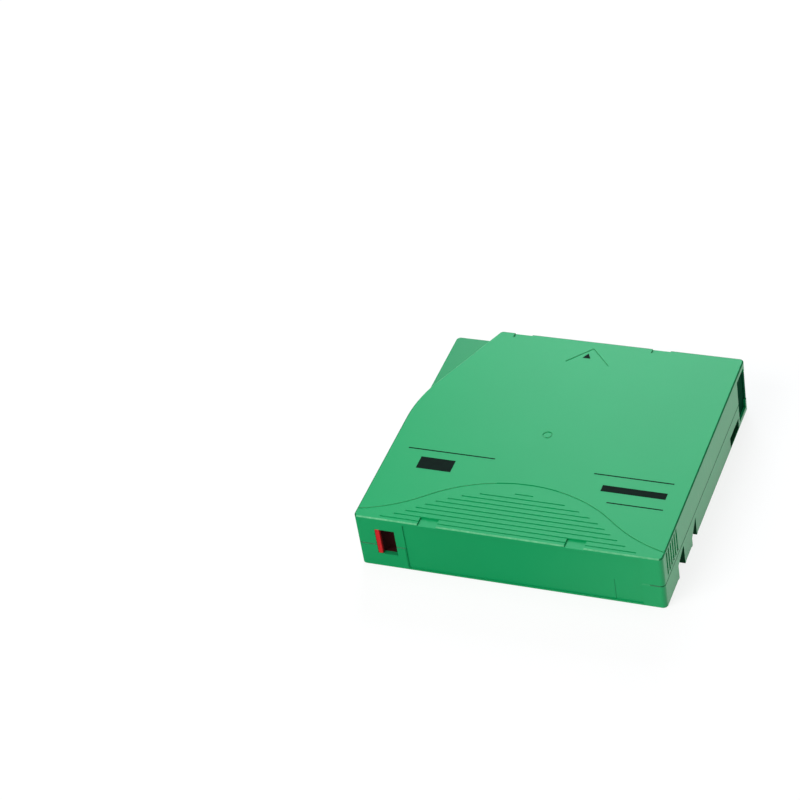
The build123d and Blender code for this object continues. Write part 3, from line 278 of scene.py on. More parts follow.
def rings_group() -> Tree:
    """Builds rings about a vertical axis, as turning or winding leaves.

    Returns:
        The group: its height is the sine of radius over pitch, and its tone is bands of the same.
    """
    tree = new_group("turned_rings", {"Pitch": 0.0003, "Waver": 0.2}, ("Height", "Tone"))
    source, result = ends(tree)
    apart = add_node(tree, "SeparateXYZ", Vector=source.outputs["Vector"])
    square_x = times(tree, apart.outputs["X"], apart.outputs["X"])
    square_y = times(tree, apart.outputs["Y"], apart.outputs["Y"])
    radius = math_node(tree, "SQRT", math_node(tree, "ADD", square_x, square_y))
    turns = math_node(tree, "DIVIDE", radius, source.outputs["Pitch"])
    waver = noise(tree, source.outputs["Vector"], 400.0, 2.0)
    moved = math_node(tree, "ADD", turns, times(tree, waver, source.outputs["Waver"]))
    wave = math_node(tree, "SINE", times(tree, moved, 2.0 * math.pi))
    tree.links.new(math_node(tree, "MULTIPLY_ADD", wave, 0.5), result.inputs["Height"])
    band = add_node(tree, "TexNoise", Scale=0.08)
    band.noise_dimensions = "1D"
    tree.links.new(turns, band.inputs["W"])
    tree.links.new(band.outputs["Fac"], result.inputs["Tone"])
    return tree


class Groups:
    """The shared effects, each built once."""

    def __init__(self) -> None:
        """Builds the three groups."""
        self.grain = moulded_grain_group()
        self.handling = handling_group()
        self.rings = rings_group()


# Finishes


class Finish:
    """One material in the making, with the nodes that every finish shares."""

    def __init__(self, name: str) -> None:
        """Starts an empty material with a Principled shader.

        Args:
            name: the material's name.
        """
        self.material = bpy.data.materials.new(name)
        self.material.use_nodes = True
        self.tree = self.material.node_tree
        self.shader = self.tree.nodes["Principled BSDF"]

    def place(self, centre: Point = (0.0, 0.0, 0.0)) -> Socket:
        """Adds Object coordinates, centred where a pattern needs it.

        Args:
            centre: the point, in metres, that the pattern is centred on.

        Returns:
            The vector socket.
        """
        source = add_node(self.tree, "TexCoord").outputs["Object"]
        shift = tuple(-value for value in centre)
        return add_node(self.tree, "Mapping", Vector=source, Location=shift).outputs["Vector"]

    def effect(self, group: Tree, vector: Socket, **values: float) -> Node:
        """Places a shared effect in the material.

        Args:
            group: the node group.
            vector: where it is read.
            values: its inputs, with an underscore for each space in their names.

        Returns:
            The group node.
        """
        node = add_node(self.tree, "Group")
        node.node_tree = group
        self.tree.links.new(vector, node.inputs["Vector"])
        for name, value in values.items():
            node.inputs[name.replace("_", " ")].default_value = value
        return node

    def attribute(self, name: str) -> Socket:
        """Reads a value that the mesh stores.

        Args:
            name: the attribute's name.

        Returns:
            The value's socket.
        """
        node = add_node(self.tree, "Attribute")
        node.attribute_name = name
        return node.outputs["Fac"]

    def tone(self, mask: Socket, dark: Rgb | Socket, light: Rgb) -> Socket:
        """Mixes two colours by a mask.

        Args:
            mask: 0 for the dark colour and 1 for the light one.
            dark: the first colour, or a socket that gives it.
            light: the second colour.

        Returns:
            The colour socket.
        """
        mix = add_node(self.tree, "Mix")
        mix.data_type = "RGBA"
        for socket, colour in zip(colours_of(mix.inputs), (dark, light)):
            put(self.tree, socket, colour if isinstance(colour, Socket) else (*colour, 1.0))
        self.tree.links.new(mask, mix.inputs["Factor"])
        return colours_of(mix.outputs)[0]

    def spread(self, mask: Socket, low: float, high: float) -> Socket:
        """Maps a mask from 0..1 to low..high.

        Args:
            mask: the mask.
            low: the result where it is 0.
            high: the result where it is 1.

        Returns:
            The mapped socket.
        """
        return map_range(self.tree, mask, To_Min=low, To_Max=high)

    def relief(self, height: Socket, depth: float, strength: float = 1.0) -> None:
        """Feeds a height to the shader's normal.

        Args:
            height: the height, as a share of the depth.
            depth: how deep a height of 1 is, in metres.
            strength: how much of the relief shows.
        """
        bump = add_node(self.tree, "Bump", Height=height, Distance=depth, Strength=strength)
        self.feed("Normal", bump.outputs["Normal"])

    def feed(self, name: str, value: object) -> None:
        """Gives one of the shader's own inputs a link or a constant."""
        put(self.tree, self.shader.inputs[name], value)


@dataclass(frozen=True)
class MouldedPlastic:
    """Injection-moulded plastic with a fine grain and a slow cloudiness of colour."""

    name: str
    colour: Rgb
    cloudiness: float = 0.06
    roughness: float = 0.5
    specular: float = 0.5
    grain_depth: float = 0.000006
    translucency: float = 0.0
    soft_reach: float = 0.001
    rub_polish: float = 0.1

    def build(self, groups: Groups) -> Material:
        """Builds the material.

        Args:
            groups: the shared effects.

        Returns:
            The finished material.
        """
        finish = Finish(self.name)
        place = finish.place()
        grain = finish.effect(groups.grain, place)
        rubs = finish.effect(groups.handling, place)
        dark, light = (scaled(self.colour, 1.0 + sign * self.cloudiness) for sign in (-1, 1))
        finish.feed("Base Color", finish.tone(grain.outputs["Cloud"], dark, light))
        polished = self.roughness - self.rub_polish
        finish.feed("Roughness", finish.spread(rubs.outputs["Rubs"], self.roughness, polished))
        finish.relief(grain.outputs["Height"], self.grain_depth, 0.5)
        finish.feed("Specular IOR Level", self.specular)
        if self.translucency:
            finish.feed("Subsurface Weight", self.translucency)
            finish.feed("Subsurface Radius", (self.soft_reach,) * 3)
        return finish.material


@dataclass(frozen=True)
class CasePlastic:
    """The case's green: grained, lighter on edges by wear and a painted highlight, darker by painted
    shade in recesses, at the seam and on the ledge.
    """

    name: str
    colour: Rgb
    roughness: float = 0.45
    specular: float = 0.22
    seam_height: float = 0.0097
    seam_reach: float = 0.00022
    apron_middle: float = 0.00595
    apron_half: float = 0.04185
    apron_face: float = -0.0494
    ledge_height: float = LEDGE_HEIGHT
    ledge_reach: float = 0.0002
    # Painted shade: the shares of the colour left on the ledge and in recesses.
    painted_ledge_shade: float = 0.8
    painted_recess_shade: float = 0.22
    recess_dulling: float = 0.5
    # Painted shade: the share of the colour left at the seam.
    painted_seam_shade: float = 0.38
    # Painted highlight with wear on edges: its strength and the scale of its breaks.
    wear_lift: float = 1.0
    wear_and_highlight_scale: float = 700.0
    cloudiness: float = 0.05
    cloud_scale: float = 35.0
    rub_polish: float = 0.1
    facing_up: float = 0.5
    grain_depth: float = 0.000006
    # The lighter green of the painted highlight with wear.
    wear_and_highlight_colour: Rgb = (0.17, 0.52, 0.27)

    def near_height(self, finish: Finish, height: Socket, middle: float, reach: float) -> Socket:
        """Returns 1 where a height is within reach of a middle value and 0 elsewhere."""
        apart = math_node(finish.tree, "ABSOLUTE", math_node(finish.tree, "SUBTRACT", height, middle))
        return math_node(finish.tree, "LESS_THAN", apart, reach)

    def beside_apron(self, finish: Finish, place: Node) -> Socket:
        """Masks the label end, whose apron covers most of the seam.

        Args:
            finish: the material being built.
            place: the separated Object coordinates.

        Returns:
            0 on the apron and as far as the right corner, and 1 elsewhere.
        """
        aside = math_node(finish.tree, "SUBTRACT", place.outputs["X"], self.apron_middle)
        inside = math_node(finish.tree, "ABSOLUTE", aside)
        inside = math_node(finish.tree, "LESS_THAN", inside, self.apron_half)
        in_front = math_node(finish.tree, "LESS_THAN", place.outputs["Y"], self.apron_face)
        apron = times(finish.tree, inside, in_front)
        return math_node(finish.tree, "SUBTRACT", 1.0, apron)

    def build(self, groups: Groups) -> Material:
        """Builds the material.

        Args:
            groups: the shared effects.

        Returns:
            The finished material.
        """
        finish = Finish(self.name)
        tree = finish.tree
        place = finish.place()
        grain = finish.effect(groups.grain, place, Cloud_Scale=self.cloud_scale)
        rubs = finish.effect(groups.handling, place)
        apart = add_node(tree, "SeparateXYZ", Vector=place)
        normal = add_node(tree, "NewGeometry").outputs["Normal"]
        facing = add_node(tree, "SeparateXYZ", Vector=normal)
        height = apart.outputs["Z"]
        # Painted shade on the ledge: faces that look up at the ledge's height are darkened.
        upward = math_node(tree, "GREATER_THAN", facing.outputs["Z"], self.facing_up)
        on_ledge = self.near_height(finish, height, self.ledge_height, self.ledge_reach)
        painted_ledge = finish.spread(times(tree, on_ledge, upward), 1.0, self.painted_ledge_shade)
        # Painted shade in the seam's groove: a band at the seam's height, off the apron, is darkened.
        at_seam = self.near_height(finish, height, self.seam_height, self.seam_reach)
        at_seam = times(tree, at_seam, self.beside_apron(finish, apart))
        painted_seam = finish.spread(at_seam, 1.0, self.painted_seam_shade)
        # Painted shade: the colour darkens with the stored recess value; with the ledge and the seam it
        # makes one factor.
        recess_and_painted_edge = finish.spread(finish.attribute("recess_and_painted_edge"), 1.0, self.painted_recess_shade)
        painted_shade = times(tree, times(tree, painted_ledge, painted_seam), recess_and_painted_edge)
        dark, light = (scaled(self.colour, 1.0 + sign * self.cloudiness) for sign in (-1, 1))
        base = finish.tone(grain.outputs["Cloud"], dark, light)
        shaded = add_node(tree, "VectorMath")
        shaded.operation = "SCALE"
        tree.links.new(base, shaded.inputs[0])
        tree.links.new(painted_shade, shaded.inputs["Scale"])
        # Painted highlight with wear: rounding faces on the roof edges turn a lighter green, broken by
        # noise.
        wear_and_highlight_breaks = finish.spread(noise(tree, place, self.wear_and_highlight_scale, 3.0), 0.0, self.wear_lift)
        worn_and_lit = times(tree, finish.attribute("wear_and_highlight"), wear_and_highlight_breaks)
        finish.feed("Base Color", finish.tone(worn_and_lit, shaded.outputs["Vector"], self.wear_and_highlight_colour))
        dull = finish.spread(finish.attribute("recess_and_painted_edge"), 0.0, self.recess_dulling)
        shiny = finish.spread(rubs.outputs["Rubs"], self.roughness, self.roughness - self.rub_polish)
        finish.feed("Roughness", math_node(tree, "ADD", shiny, dull))
        finish.feed("Specular IOR Level", self.specular)
        finish.relief(grain.outputs["Height"], self.grain_depth, 0.5)
        return finish.material


@dataclass(frozen=True)
class TurnedMetal:
    """Bright metal with fine rings or lines from turning and stamping."""

    name: str
    colour: Rgb
    roughness: float = 0.28
    centre: Point = (0.0, 0.0, 0.0)
    ring_pitch: float = 0.00012
    ring_depth: float = 0.000002
    cloud_scale: float = 300.0
    cloud_share: float = 0.86
    smoother: float = 0.08
    rougher: float = 0.1

    def build(self, groups: Groups) -> Material:
        """Builds the material.

        Args:
            groups: the shared effects.

        Returns:
            The finished material.
        """
        finish = Finish(self.name)
        place = finish.place(self.centre)
        rings = finish.effect(groups.rings, place, Pitch=self.ring_pitch)
        grain = finish.effect(groups.grain, place, Cloud_Scale=self.cloud_scale)
        dark = scaled(self.colour, self.cloud_share)
        finish.feed("Base Color", finish.tone(grain.outputs["Cloud"], dark, self.colour))
        smooth, rough = self.roughness - self.smoother, self.roughness + self.rougher
        finish.feed("Roughness", finish.spread(rings.outputs["Tone"], smooth, rough))
        finish.relief(rings.outputs["Height"], self.ring_depth, 0.6)
        finish.feed("Metallic", 1.0)
        return finish.material


@dataclass(frozen=True)
class WoundTape:
    """Tape seen on its edges: dark, smooth film in turns too fine to count, with soft bands."""

    name: str
    centre: Point
    dark: Rgb = (0.018, 0.014, 0.013)
    light: Rgb = (0.050, 0.040, 0.036)
    turn_pitch: float = 0.00008
    turn_depth: float = 0.000004

    def build(self, groups: Groups) -> Material:
        """Builds the material.

        Args:
            groups: the shared effects.

        Returns:
            The finished material.
        """
        finish = Finish(self.name)
        place = finish.place(self.centre)
        rings = finish.effect(groups.rings, place, Pitch=self.turn_pitch, Waver=0.1)
        finish.feed("Base Color", finish.tone(rings.outputs["Tone"], self.dark, self.light))
        finish.feed("Roughness", finish.spread(rings.outputs["Tone"], 0.22, 0.4))
        finish.relief(rings.outputs["Height"], self.turn_depth, 0.5)
        return finish.material


@dataclass(frozen=True)
class Laminate:
    """The memory's circuit board: coated glass cloth with a faint weave."""

    name: str
    colour: Rgb = (0.012, 0.085, 0.035)
    weave_pitch: float = 0.0006
    weave_depth: float = 0.000004
    weave_lift: float = 1.3

    def build(self, groups: Groups) -> Material:
        """Builds the material.

        Args:
            groups: the shared effects.

        Returns:
            The finished material.
        """
        finish = Finish(self.name)
        place = finish.place()
        weave = add_node(finish.tree, "TexChecker", Vector=place, Scale=1.0 / self.weave_pitch)
        light = scaled(self.colour, self.weave_lift)
        finish.feed("Base Color", finish.tone(weave.outputs["Fac"], self.colour, light))
        grain = finish.effect(groups.grain, place)
        finish.feed("Roughness", finish.spread(grain.outputs["Cloud"], 0.2, 0.35))
        finish.relief(weave.outputs["Fac"], self.weave_depth, 0.4)
        return finish.material


@dataclass(frozen=True)
class PadPrint:
    """Pad-printed ink: nearly black, a little uneven, with a broken edge of density."""

    name: str
    colour: Rgb = (0.003, 0.006, 0.005)
    thin: Rgb = (0.006, 0.018, 0.012)
    specular: float = 0.03
    film_depth: float = 0.000004

    def build(self, groups: Groups) -> Material:
        """Builds the material.

        Args:
            groups: the shared effects.

        Returns:
            The finished material.
        """
        finish = Finish(self.name)
        grain = finish.effect(groups.grain, finish.place(), Grain_Scale=3000.0, Cloud_Scale=500.0)
        finish.feed("Base Color", finish.tone(grain.outputs["Cloud"], self.colour, self.thin))
        finish.feed("Specular IOR Level", self.specular)
        finish.feed("Roughness", finish.spread(grain.outputs["Cloud"], 0.6, 0.75))
        finish.relief(grain.outputs["Height"], self.film_depth, 0.5)
        return finish.material


# Surfaces


def grid_faces(rows: int, columns: int) -> np.ndarray:
    """Works out the four-cornered faces of a grid of points, whose last column joins the first.

    Args:
        rows: points along the path or profile.
        columns: points round it.

    Returns:
        An array with four point numbers for each face.
    """
    first, second = np.meshgrid(np.arange(rows - 1), np.arange(columns), indexing="ij")
    beside = (second + 1) % columns
    corners = [first * columns + second, (first + 1) * columns + second]
    corners += [(first + 1) * columns + beside, first * columns + beside]
    return np.stack([corner.ravel() for corner in corners], axis=1)


def make_piece(
    name: str, points: np.ndarray, faces: list, body: Body | None, material: Material
) -> bpy.types.Object:
    """Makes a mesh object from points and faces, welds it, turns its faces out and dresses it.

    Args:
        name: the piece's name.
        points: an array of points, in millimetres.
        faces: lists of point numbers.
        body: the body that it rides on, or None for a piece on no body.
        material: the material that it wears.

    Returns:
        The new object, at the origin.
    """
    mesh = bpy.data.meshes.new(name)
    mesh.from_pydata((points.reshape(-1, 3) * MM).tolist(), [], faces)
    work = bmesh.new()
    work.from_mesh(mesh)
    bmesh.ops.remove_doubles(work, verts=work.verts, dist=PIECE_WELD)
    bmesh.ops.recalc_face_normals(work, faces=work.faces)
    work.to_mesh(mesh)
    work.free()
    mesh.shade_smooth()
    mesh.set_sharp_from_angle(angle=math.radians(CRISP_ANGLE))
    mesh.materials.append(material)
    piece = bpy.data.objects.new(name, mesh)
    bpy.context.scene.collection.objects.link(piece)
    if body is not None:
        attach(piece, body.value)
    return piece


def capped_grid(grid: np.ndarray) -> list:
    """Lists a grid's faces, with a flat cap on its first and on its last row.

    Args:
        grid: the grid of points.

    Returns:
        Lists of point numbers.
    """
    rows, columns = grid.shape[:2]
    faces = grid_faces(rows, columns).tolist()
    first = list(range(columns))
    last = list(range((rows - 1) * columns, rows * columns))
    return faces + [first[::-1], last]


def tube(path: np.ndarray, radius: float, sides: int) -> np.ndarray:
    """Carries a circle along a path.

    Each circle lies across the path's direction T. Its first axis is T x Z and its second is that
    axis x T, so the path may run in any direction but straight up.

    Args:
        path: the points of the centreline, in millimetres.
        radius: the circle's radius.
        sides: how many points each circle has.

    Returns:
        A grid of points, one row for each point of the path.
    """
    along = np.gradient(path, axis=0)
    along /= np.linalg.norm(along, axis=1, keepdims=True)
    across = np.cross(along, np.array([0.0, 0.0, 1.0]))
    across /= np.linalg.norm(across, axis=1, keepdims=True)
    upward = np.cross(across, along)
    turn = np.linspace(0.0, 2.0 * np.pi, sides, endpoint=False)
    ring = np.cos(turn)[None, :, None] * across[:, None, :]
    ring = ring + np.sin(turn)[None, :, None] * upward[:, None, :]
    return path[:, None, :] + radius * ring


def lathe(profile: np.ndarray, centre: tuple[float, float], sides: int) -> np.ndarray:
    """Turns a profile of radius and height about an upright axis.

    Args:
        profile: rows of radius and height, in millimetres.
        centre: the axis's X and Y.
        sides: how many points each ring has.

    Returns:
        A grid of points, one row for each point of the profile.
    """
    turn = np.linspace(0.0, 2.0 * np.pi, sides, endpoint=False)
    x = centre[0] + profile[:, :1] * np.cos(turn)[None, :]
    y = centre[1] + profile[:, :1] * np.sin(turn)[None, :]
    z = np.broadcast_to(profile[:, 1:], x.shape)
    return np.stack([x, y, z], axis=2)


def node_span(node: str) -> tuple[np.ndarray, np.ndarray]:
    """Returns a CAD node's lowest and highest corners, in millimetres."""
    low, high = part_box(node)
    return np.array(low) / MM, np.array(high) / MM


def dress(node: str, material: Material) -> None:
    """Gives a CAD node its finish.

    Args:
        node: the node's name.
        material: the material that it wears.
    """
    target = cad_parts[node].data
    target.materials.clear()
    target.materials.append(material)
    LOG.info("dressed %s with %s", node, material.name)


def mark_recesses(mesh: bpy.types.Mesh) -> None:
    """Stores how deep each face lies inside the case's outline, and which small faces round its edges.

    The outline is the case's box, whose top is the ledge outside the guide: beyond the arc
    hypot(x - X, y) = R and its tangent (X - x) cos A + y sin A = R. A face's depth d is the mean over its
    corners of the least distance to the box's sides and top, and to its bottom too where the face looks
    down. Its recess value is (d - 0.5 mm) / 0.7 mm, held between 0 and 1, and darkens the colour as
    painted shade. A face rounds an edge where it is small, slanting, near the top and within 0.6 mm of
    the box. The rounding faces beside and behind the roof get painted shade, at a recess value of 0.7,
    and the others get a painted highlight with wear.

    Args:
        mesh: the copy of a shell, the door or the tab.
    """
    places = np.empty(len(mesh.vertices) * 3)
    mesh.vertices.foreach_get("co", places)
    places = places.reshape(-1, 3)
    low, high = (np.array(corner) for corner in CAD_BOX)
    radius = high[1]
    reel_x = low[0] + radius
    turn = math.radians(GUIDE_ANGLE)
    x, y, z = places.T
    beyond = ((reel_x - x) * math.cos(turn) + y * math.sin(turn) > radius - LOOSE) & (y > 0)
    beyond |= (np.hypot(x - reel_x, y) > radius - LOOSE) & (y > 0) & (x < reel_x)
    beyond &= x < reel_x
    top = np.where(beyond, LEDGE_HEIGHT, high[2])
    sides = np.minimum(np.minimum(x - low[0], high[0] - x), np.minimum(y - low[1], high[1] - y))
    depth = np.minimum(sides, np.maximum(top - z, 0.0))
    count = len(mesh.polygons)
    normals, areas = np.empty(count * 3), np.empty(count)
    mesh.polygons.foreach_get("normal", normals)
    mesh.polygons.foreach_get("area", areas)
    normals = normals.reshape(-1, 3)
    first = np.empty(count, dtype=int)
    mesh.polygons.foreach_get("loop_start", first)
    corner = np.empty(len(mesh.loops), dtype=int)
    mesh.loops.foreach_get("vertex_index", corner)
    corners = np.diff(np.append(first, len(corner)))
    closed = np.add.reduceat(depth[corner], first) / corners
    opened = np.add.reduceat(np.minimum(depth, z)[corner], first) / corners
    face_depth = np.where(normals[:, 2] < DOWNWARD, opened, closed)
    slanting = np.abs(normals).max(axis=1) < SLANTING
    rounding = slanting & (areas < ROUNDING_AREA) & (face_depth < ROUNDING_DEPTH)
    rounding &= z[corner[first]] > ROUNDING_HEIGHT
    middle_x, middle_y = (np.add.reduceat(value[corner], first) / corners for value in (x, y))
    # The rounding faces on the roof's side and back edges, which get painted shade.
    dark = rounding & ((np.abs(middle_x) > high[0] - EDGE) | (middle_y > high[1] - EDGE))
    # Painted shade: the recess value darkens the colour, and the roof's side and back edges get a fixed
    # one.
    recess_and_painted_edge = mesh.attributes.new("recess_and_painted_edge", "FLOAT", "FACE")
    inside = np.clip((face_depth - RECESS_START) / RECESS_RANGE, 0.0, 1.0)
    recess_and_painted_edge.data.foreach_set("value", np.where(dark, PAINTED_EDGE_SHADE, inside))
    # Painted highlight with wear: the other rounding faces turn lighter.
    wear_and_highlight = mesh.attributes.new("wear_and_highlight", "FLOAT", "FACE")
    wear_and_highlight.data.foreach_set("value", (rounding & ~dark).astype(float))


def smooth_copy(node: str, body: Body, material: Material, angle: float) -> None:
    """Stands in for a CAD node with a welded copy whose rounded edges shade smoothly.

    Args:
        node: the node's name.
        body: the body that it rides on.
        material: the material that it wears.
        angle: edges that turn by more than this many degrees stay crisp.
    """
    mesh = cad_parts[node].data.copy()
    mesh.name = f"{node}_skin"
    if "custom_normal" in mesh.attributes:
        mesh.attributes.remove(mesh.attributes["custom_normal"])
    work = bmesh.new()
    work.from_mesh(mesh)
    bmesh.ops.remove_doubles(work, verts=work.verts, dist=CAD_WELD)
    bmesh.ops.dissolve_limit(
        work, angle_limit=math.radians(FLAT_ANGLE), use_dissolve_boundaries=False,
        verts=work.verts, edges=work.edges, delimit={"NORMAL"},
    )
    work.to_mesh(mesh)
    work.free()
    mesh.shade_smooth()
    mesh.set_sharp_from_angle(angle=math.radians(angle))
    mesh.materials.clear()
    mesh.materials.append(material)
    mark_recesses(mesh)
    piece = bpy.data.objects.new(f"{node}_skin", mesh)
    bpy.context.scene.collection.objects.link(piece)
    even = piece.modifiers.new("even_shading", "WEIGHTED_NORMAL")
    even.keep_sharp = True
    even.weight = 100
    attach(piece, body.value)
    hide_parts(node)
    LOG.info("smoothed %s", node)


# Sub-assemblies


@dataclass
class Finishes:
    """Every finish that the cartridge wears."""

    groups: Groups = field(default_factory=Groups)
    green: CasePlastic = CasePlastic("moulded_green", (0.0015, 0.31, 0.098))
    # Painted shade: the door wears the case's green darkened to about a third, for the shaded band at the
    # corner.
    door_green: CasePlastic = CasePlastic(
        "door_green", (0.0015, 0.11, 0.042), roughness=0.7, specular=0.03
    )
    # Painted shade: the tab keeps only 0.05 of its red in deep faces, darkening its scoop.
    red: CasePlastic = CasePlastic(
        "tab_red", (0.55, 0.012, 0.014), roughness=0.4, painted_recess_shade=0.05, painted_seam_shade=1.0, wear_lift=0.0
    )
    steel: TurnedMetal = TurnedMetal("turned_steel", (0.56, 0.56, 0.57))
    plate: TurnedMetal = TurnedMetal("clutch_steel", (0.50, 0.50, 0.51), centre=(-0.0017, 0.0, 0.0))
    wire: TurnedMetal = TurnedMetal("spring_wire", (0.62, 0.62, 0.64), roughness=0.2)
    reel: MouldedPlastic = MouldedPlastic(
        "reel_plastic", (0.72, 0.74, 0.71), cloudiness=0.03, roughness=0.3, translucency=0.3
    )
    acetal: MouldedPlastic = MouldedPlastic(
        "acetal", (0.80, 0.80, 0.76), cloudiness=0.02, roughness=0.4
    )
    clip: MouldedPlastic = MouldedPlastic("clip_plastic", (0.02, 0.02, 0.022), roughness=0.4)
    tape: WoundTape = WoundTape("wound_tape", centre=(-0.0017, 0.0, 0.0))
    board: Laminate = Laminate("board_laminate")
    copper: TurnedMetal = TurnedMetal("etched_copper", (0.78, 0.42, 0.22), roughness=0.35)
    chip: MouldedPlastic = MouldedPlastic("chip_resin", (0.012, 0.012, 0.013), roughness=0.55)
    ink: PadPrint = PadPrint("printing_ink")

    def __post_init__(self) -> None:
        """Builds each finish once."""
        self.built = {
            entry.name: getattr(self, entry.name).build(self.groups)
            for entry in fields(self) if entry.name != "groups"
        }

    def of(self, name: str) -> Material:
        """Returns the built material of that name."""
        return self.built[name]


@dataclass
class Case:
    """The two shells, the door, the write-protect tab and the print on the roof."""

    finishes: Finishes
    skins: tuple[tuple[str, Body, Slot, str], ...] = (
        ("lower_shell", Body.CASE, Slot.CASE, "green"),
        ("upper_shell", Body.CASE, Slot.CASE, "green"),
        ("sliding_door", Body.DOOR, Slot.DOOR, "door_green"),
        ("write_protect_tab", Body.TAB, Slot.TAB, "red"),
    )
    crisp_angle: float = 30.0
    ink_height: float = 0.02
    triangle_centre: tuple[float, float] = (-1.0, 43.0)
    triangle_half_width: float = 1.45
    triangle_height: float = 2.7
    plain_marks: tuple[tuple[str, float, float, float, float], ...] = (
        ("rule_left", -46.2, -15.3, -15.3, -14.8),
        ("block_left", -40.3, -28.0, -24.4, -18.6),
        ("rule_right", 19.5, 46.8, -15.9, -15.4),
        ("bar_right", 24.0, 46.0, -23.5, -20.5),
        ("rule_right_low", 27.6, 46.6, -28.7, -28.2),
    )

    def build(self) -> None:
        """Builds and dresses the case."""
        for node, body, slot, finish in self.skins:
            smooth_copy(node, body, self.finishes.of(finish), self.crisp_angle)
        x, y = self.triangle_centre
        half, rise = self.triangle_half_width, self.triangle_height / 2
        triangle = np.array([[x - half, y - rise], [x + half, y - rise], [x, y + rise]])
        self.printed("insertion_triangle", triangle)
        for name, left, right, near, far in self.plain_marks:
            outline = np.array([[left, near], [right, near], [right, far], [left, far]])
            self.printed(name, outline)

    def printed(self, name: str, outline: np.ndarray) -> None:
        """Lays a thin film of ink on the roof.

        Args:
            name: the piece's name.
            outline: the corners of the film, as rows of X and Y.
        """
        roof = node_span("upper_shell")[1][2]
        count = len(outline)
        low = np.column_stack([outline, np.full(count, roof)])
        high = np.column_stack([outline, np.full(count, roof + self.ink_height)])
        film = np.stack([low, high])
        make_piece(name, film, capped_grid(film), Body.CASE, self.finishes.of("ink"))
        LOG.info("printed %s", name)


@dataclass
class Reel:
    """The reel, its clutch plate, the tape and the brake with its release pad."""

    finishes: Finishes
    worn_by: tuple[tuple[str, str], ...] = (
        ("reel_hub", "reel"),
        ("upper_flange", "reel"),
        ("clutch_plate", "plate"),
        ("tape_pack", "tape"),
        ("brake", "acetal"),
        ("release_pad", "acetal"),
    )

    def build(self) -> None:
        """Dresses the reel's pieces."""
        for node, finish in self.worn_by:
            dress(node, self.finishes.of(finish))


@dataclass
class Hardware:
    """Screws, springs, the leader pin and the memory."""

    finishes: Finishes
    pin_shaft: float = 1.2
    pin_neck: float = 1.4
    pin_collar: float = 2.1
    pin_flange: float = 0.8
    pin_collars: tuple[tuple[float, float], tuple[float, float]] = ((3.5, 4.15), (17.15, 17.8))
    pin_easing: float = 0.15
    pin_sides: int = 48
    worn_by: tuple[tuple[str, str], ...] = (
        ("case_screws", "steel"),
        ("leader_pin_spring", "wire"),
        ("leader_pin_clip", "clip"),
        ("tape_leader", "tape"),
        ("memory_board", "board"),
        ("memory_antenna", "copper"),
        ("memory_chip", "chip"),
    )

    def build(self) -> None:
        """Dresses the small pieces."""
        for node, finish in self.worn_by:
            dress(node, self.finishes.of(finish))
        self.turned_pin()

    def turned_pin(self) -> None:
        """Turns the leader pin: end flanges with eased rims, necks, collars and a shaft."""
        low, high = node_span("leader_pin")
        foot, top = float(low[2]), float(high[2])
        rim, ease = float(high[0] - low[0]) / 2, self.pin_easing
        (lower_start, lower_end), (upper_start, upper_end) = self.pin_collars
        inner_foot, inner_top = foot + self.pin_flange, top - self.pin_flange
        profile = np.array([
            (0.0, foot), (rim - ease, foot), (rim, foot + ease),
            (rim, inner_foot - ease), (rim - ease, inner_foot), (self.pin_neck, inner_foot),
            (self.pin_neck, lower_start), (self.pin_collar, lower_start), (self.pin_collar, lower_end),
            (self.pin_shaft, lower_end), (self.pin_shaft, upper_start), (self.pin_collar, upper_start),
            (self.pin_collar, upper_end), (self.pin_neck, upper_end), (self.pin_neck, inner_top),
            (rim - ease, inner_top), (rim, inner_top + ease),
            (rim, top - ease), (rim - ease, top), (0.0, top),
        ])
        centre = (low + high) / 2
        grid = lathe(profile, (float(centre[0]), float(centre[1])), self.pin_sides)
        steel = self.finishes.of("steel")
        faces = grid_faces(*grid.shape[:2]).tolist()
        pin = make_piece("turned_leader_pin", grid, faces, Body.CASE, steel)
        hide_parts("leader_pin")
        LOG.info("turned leader_pin")


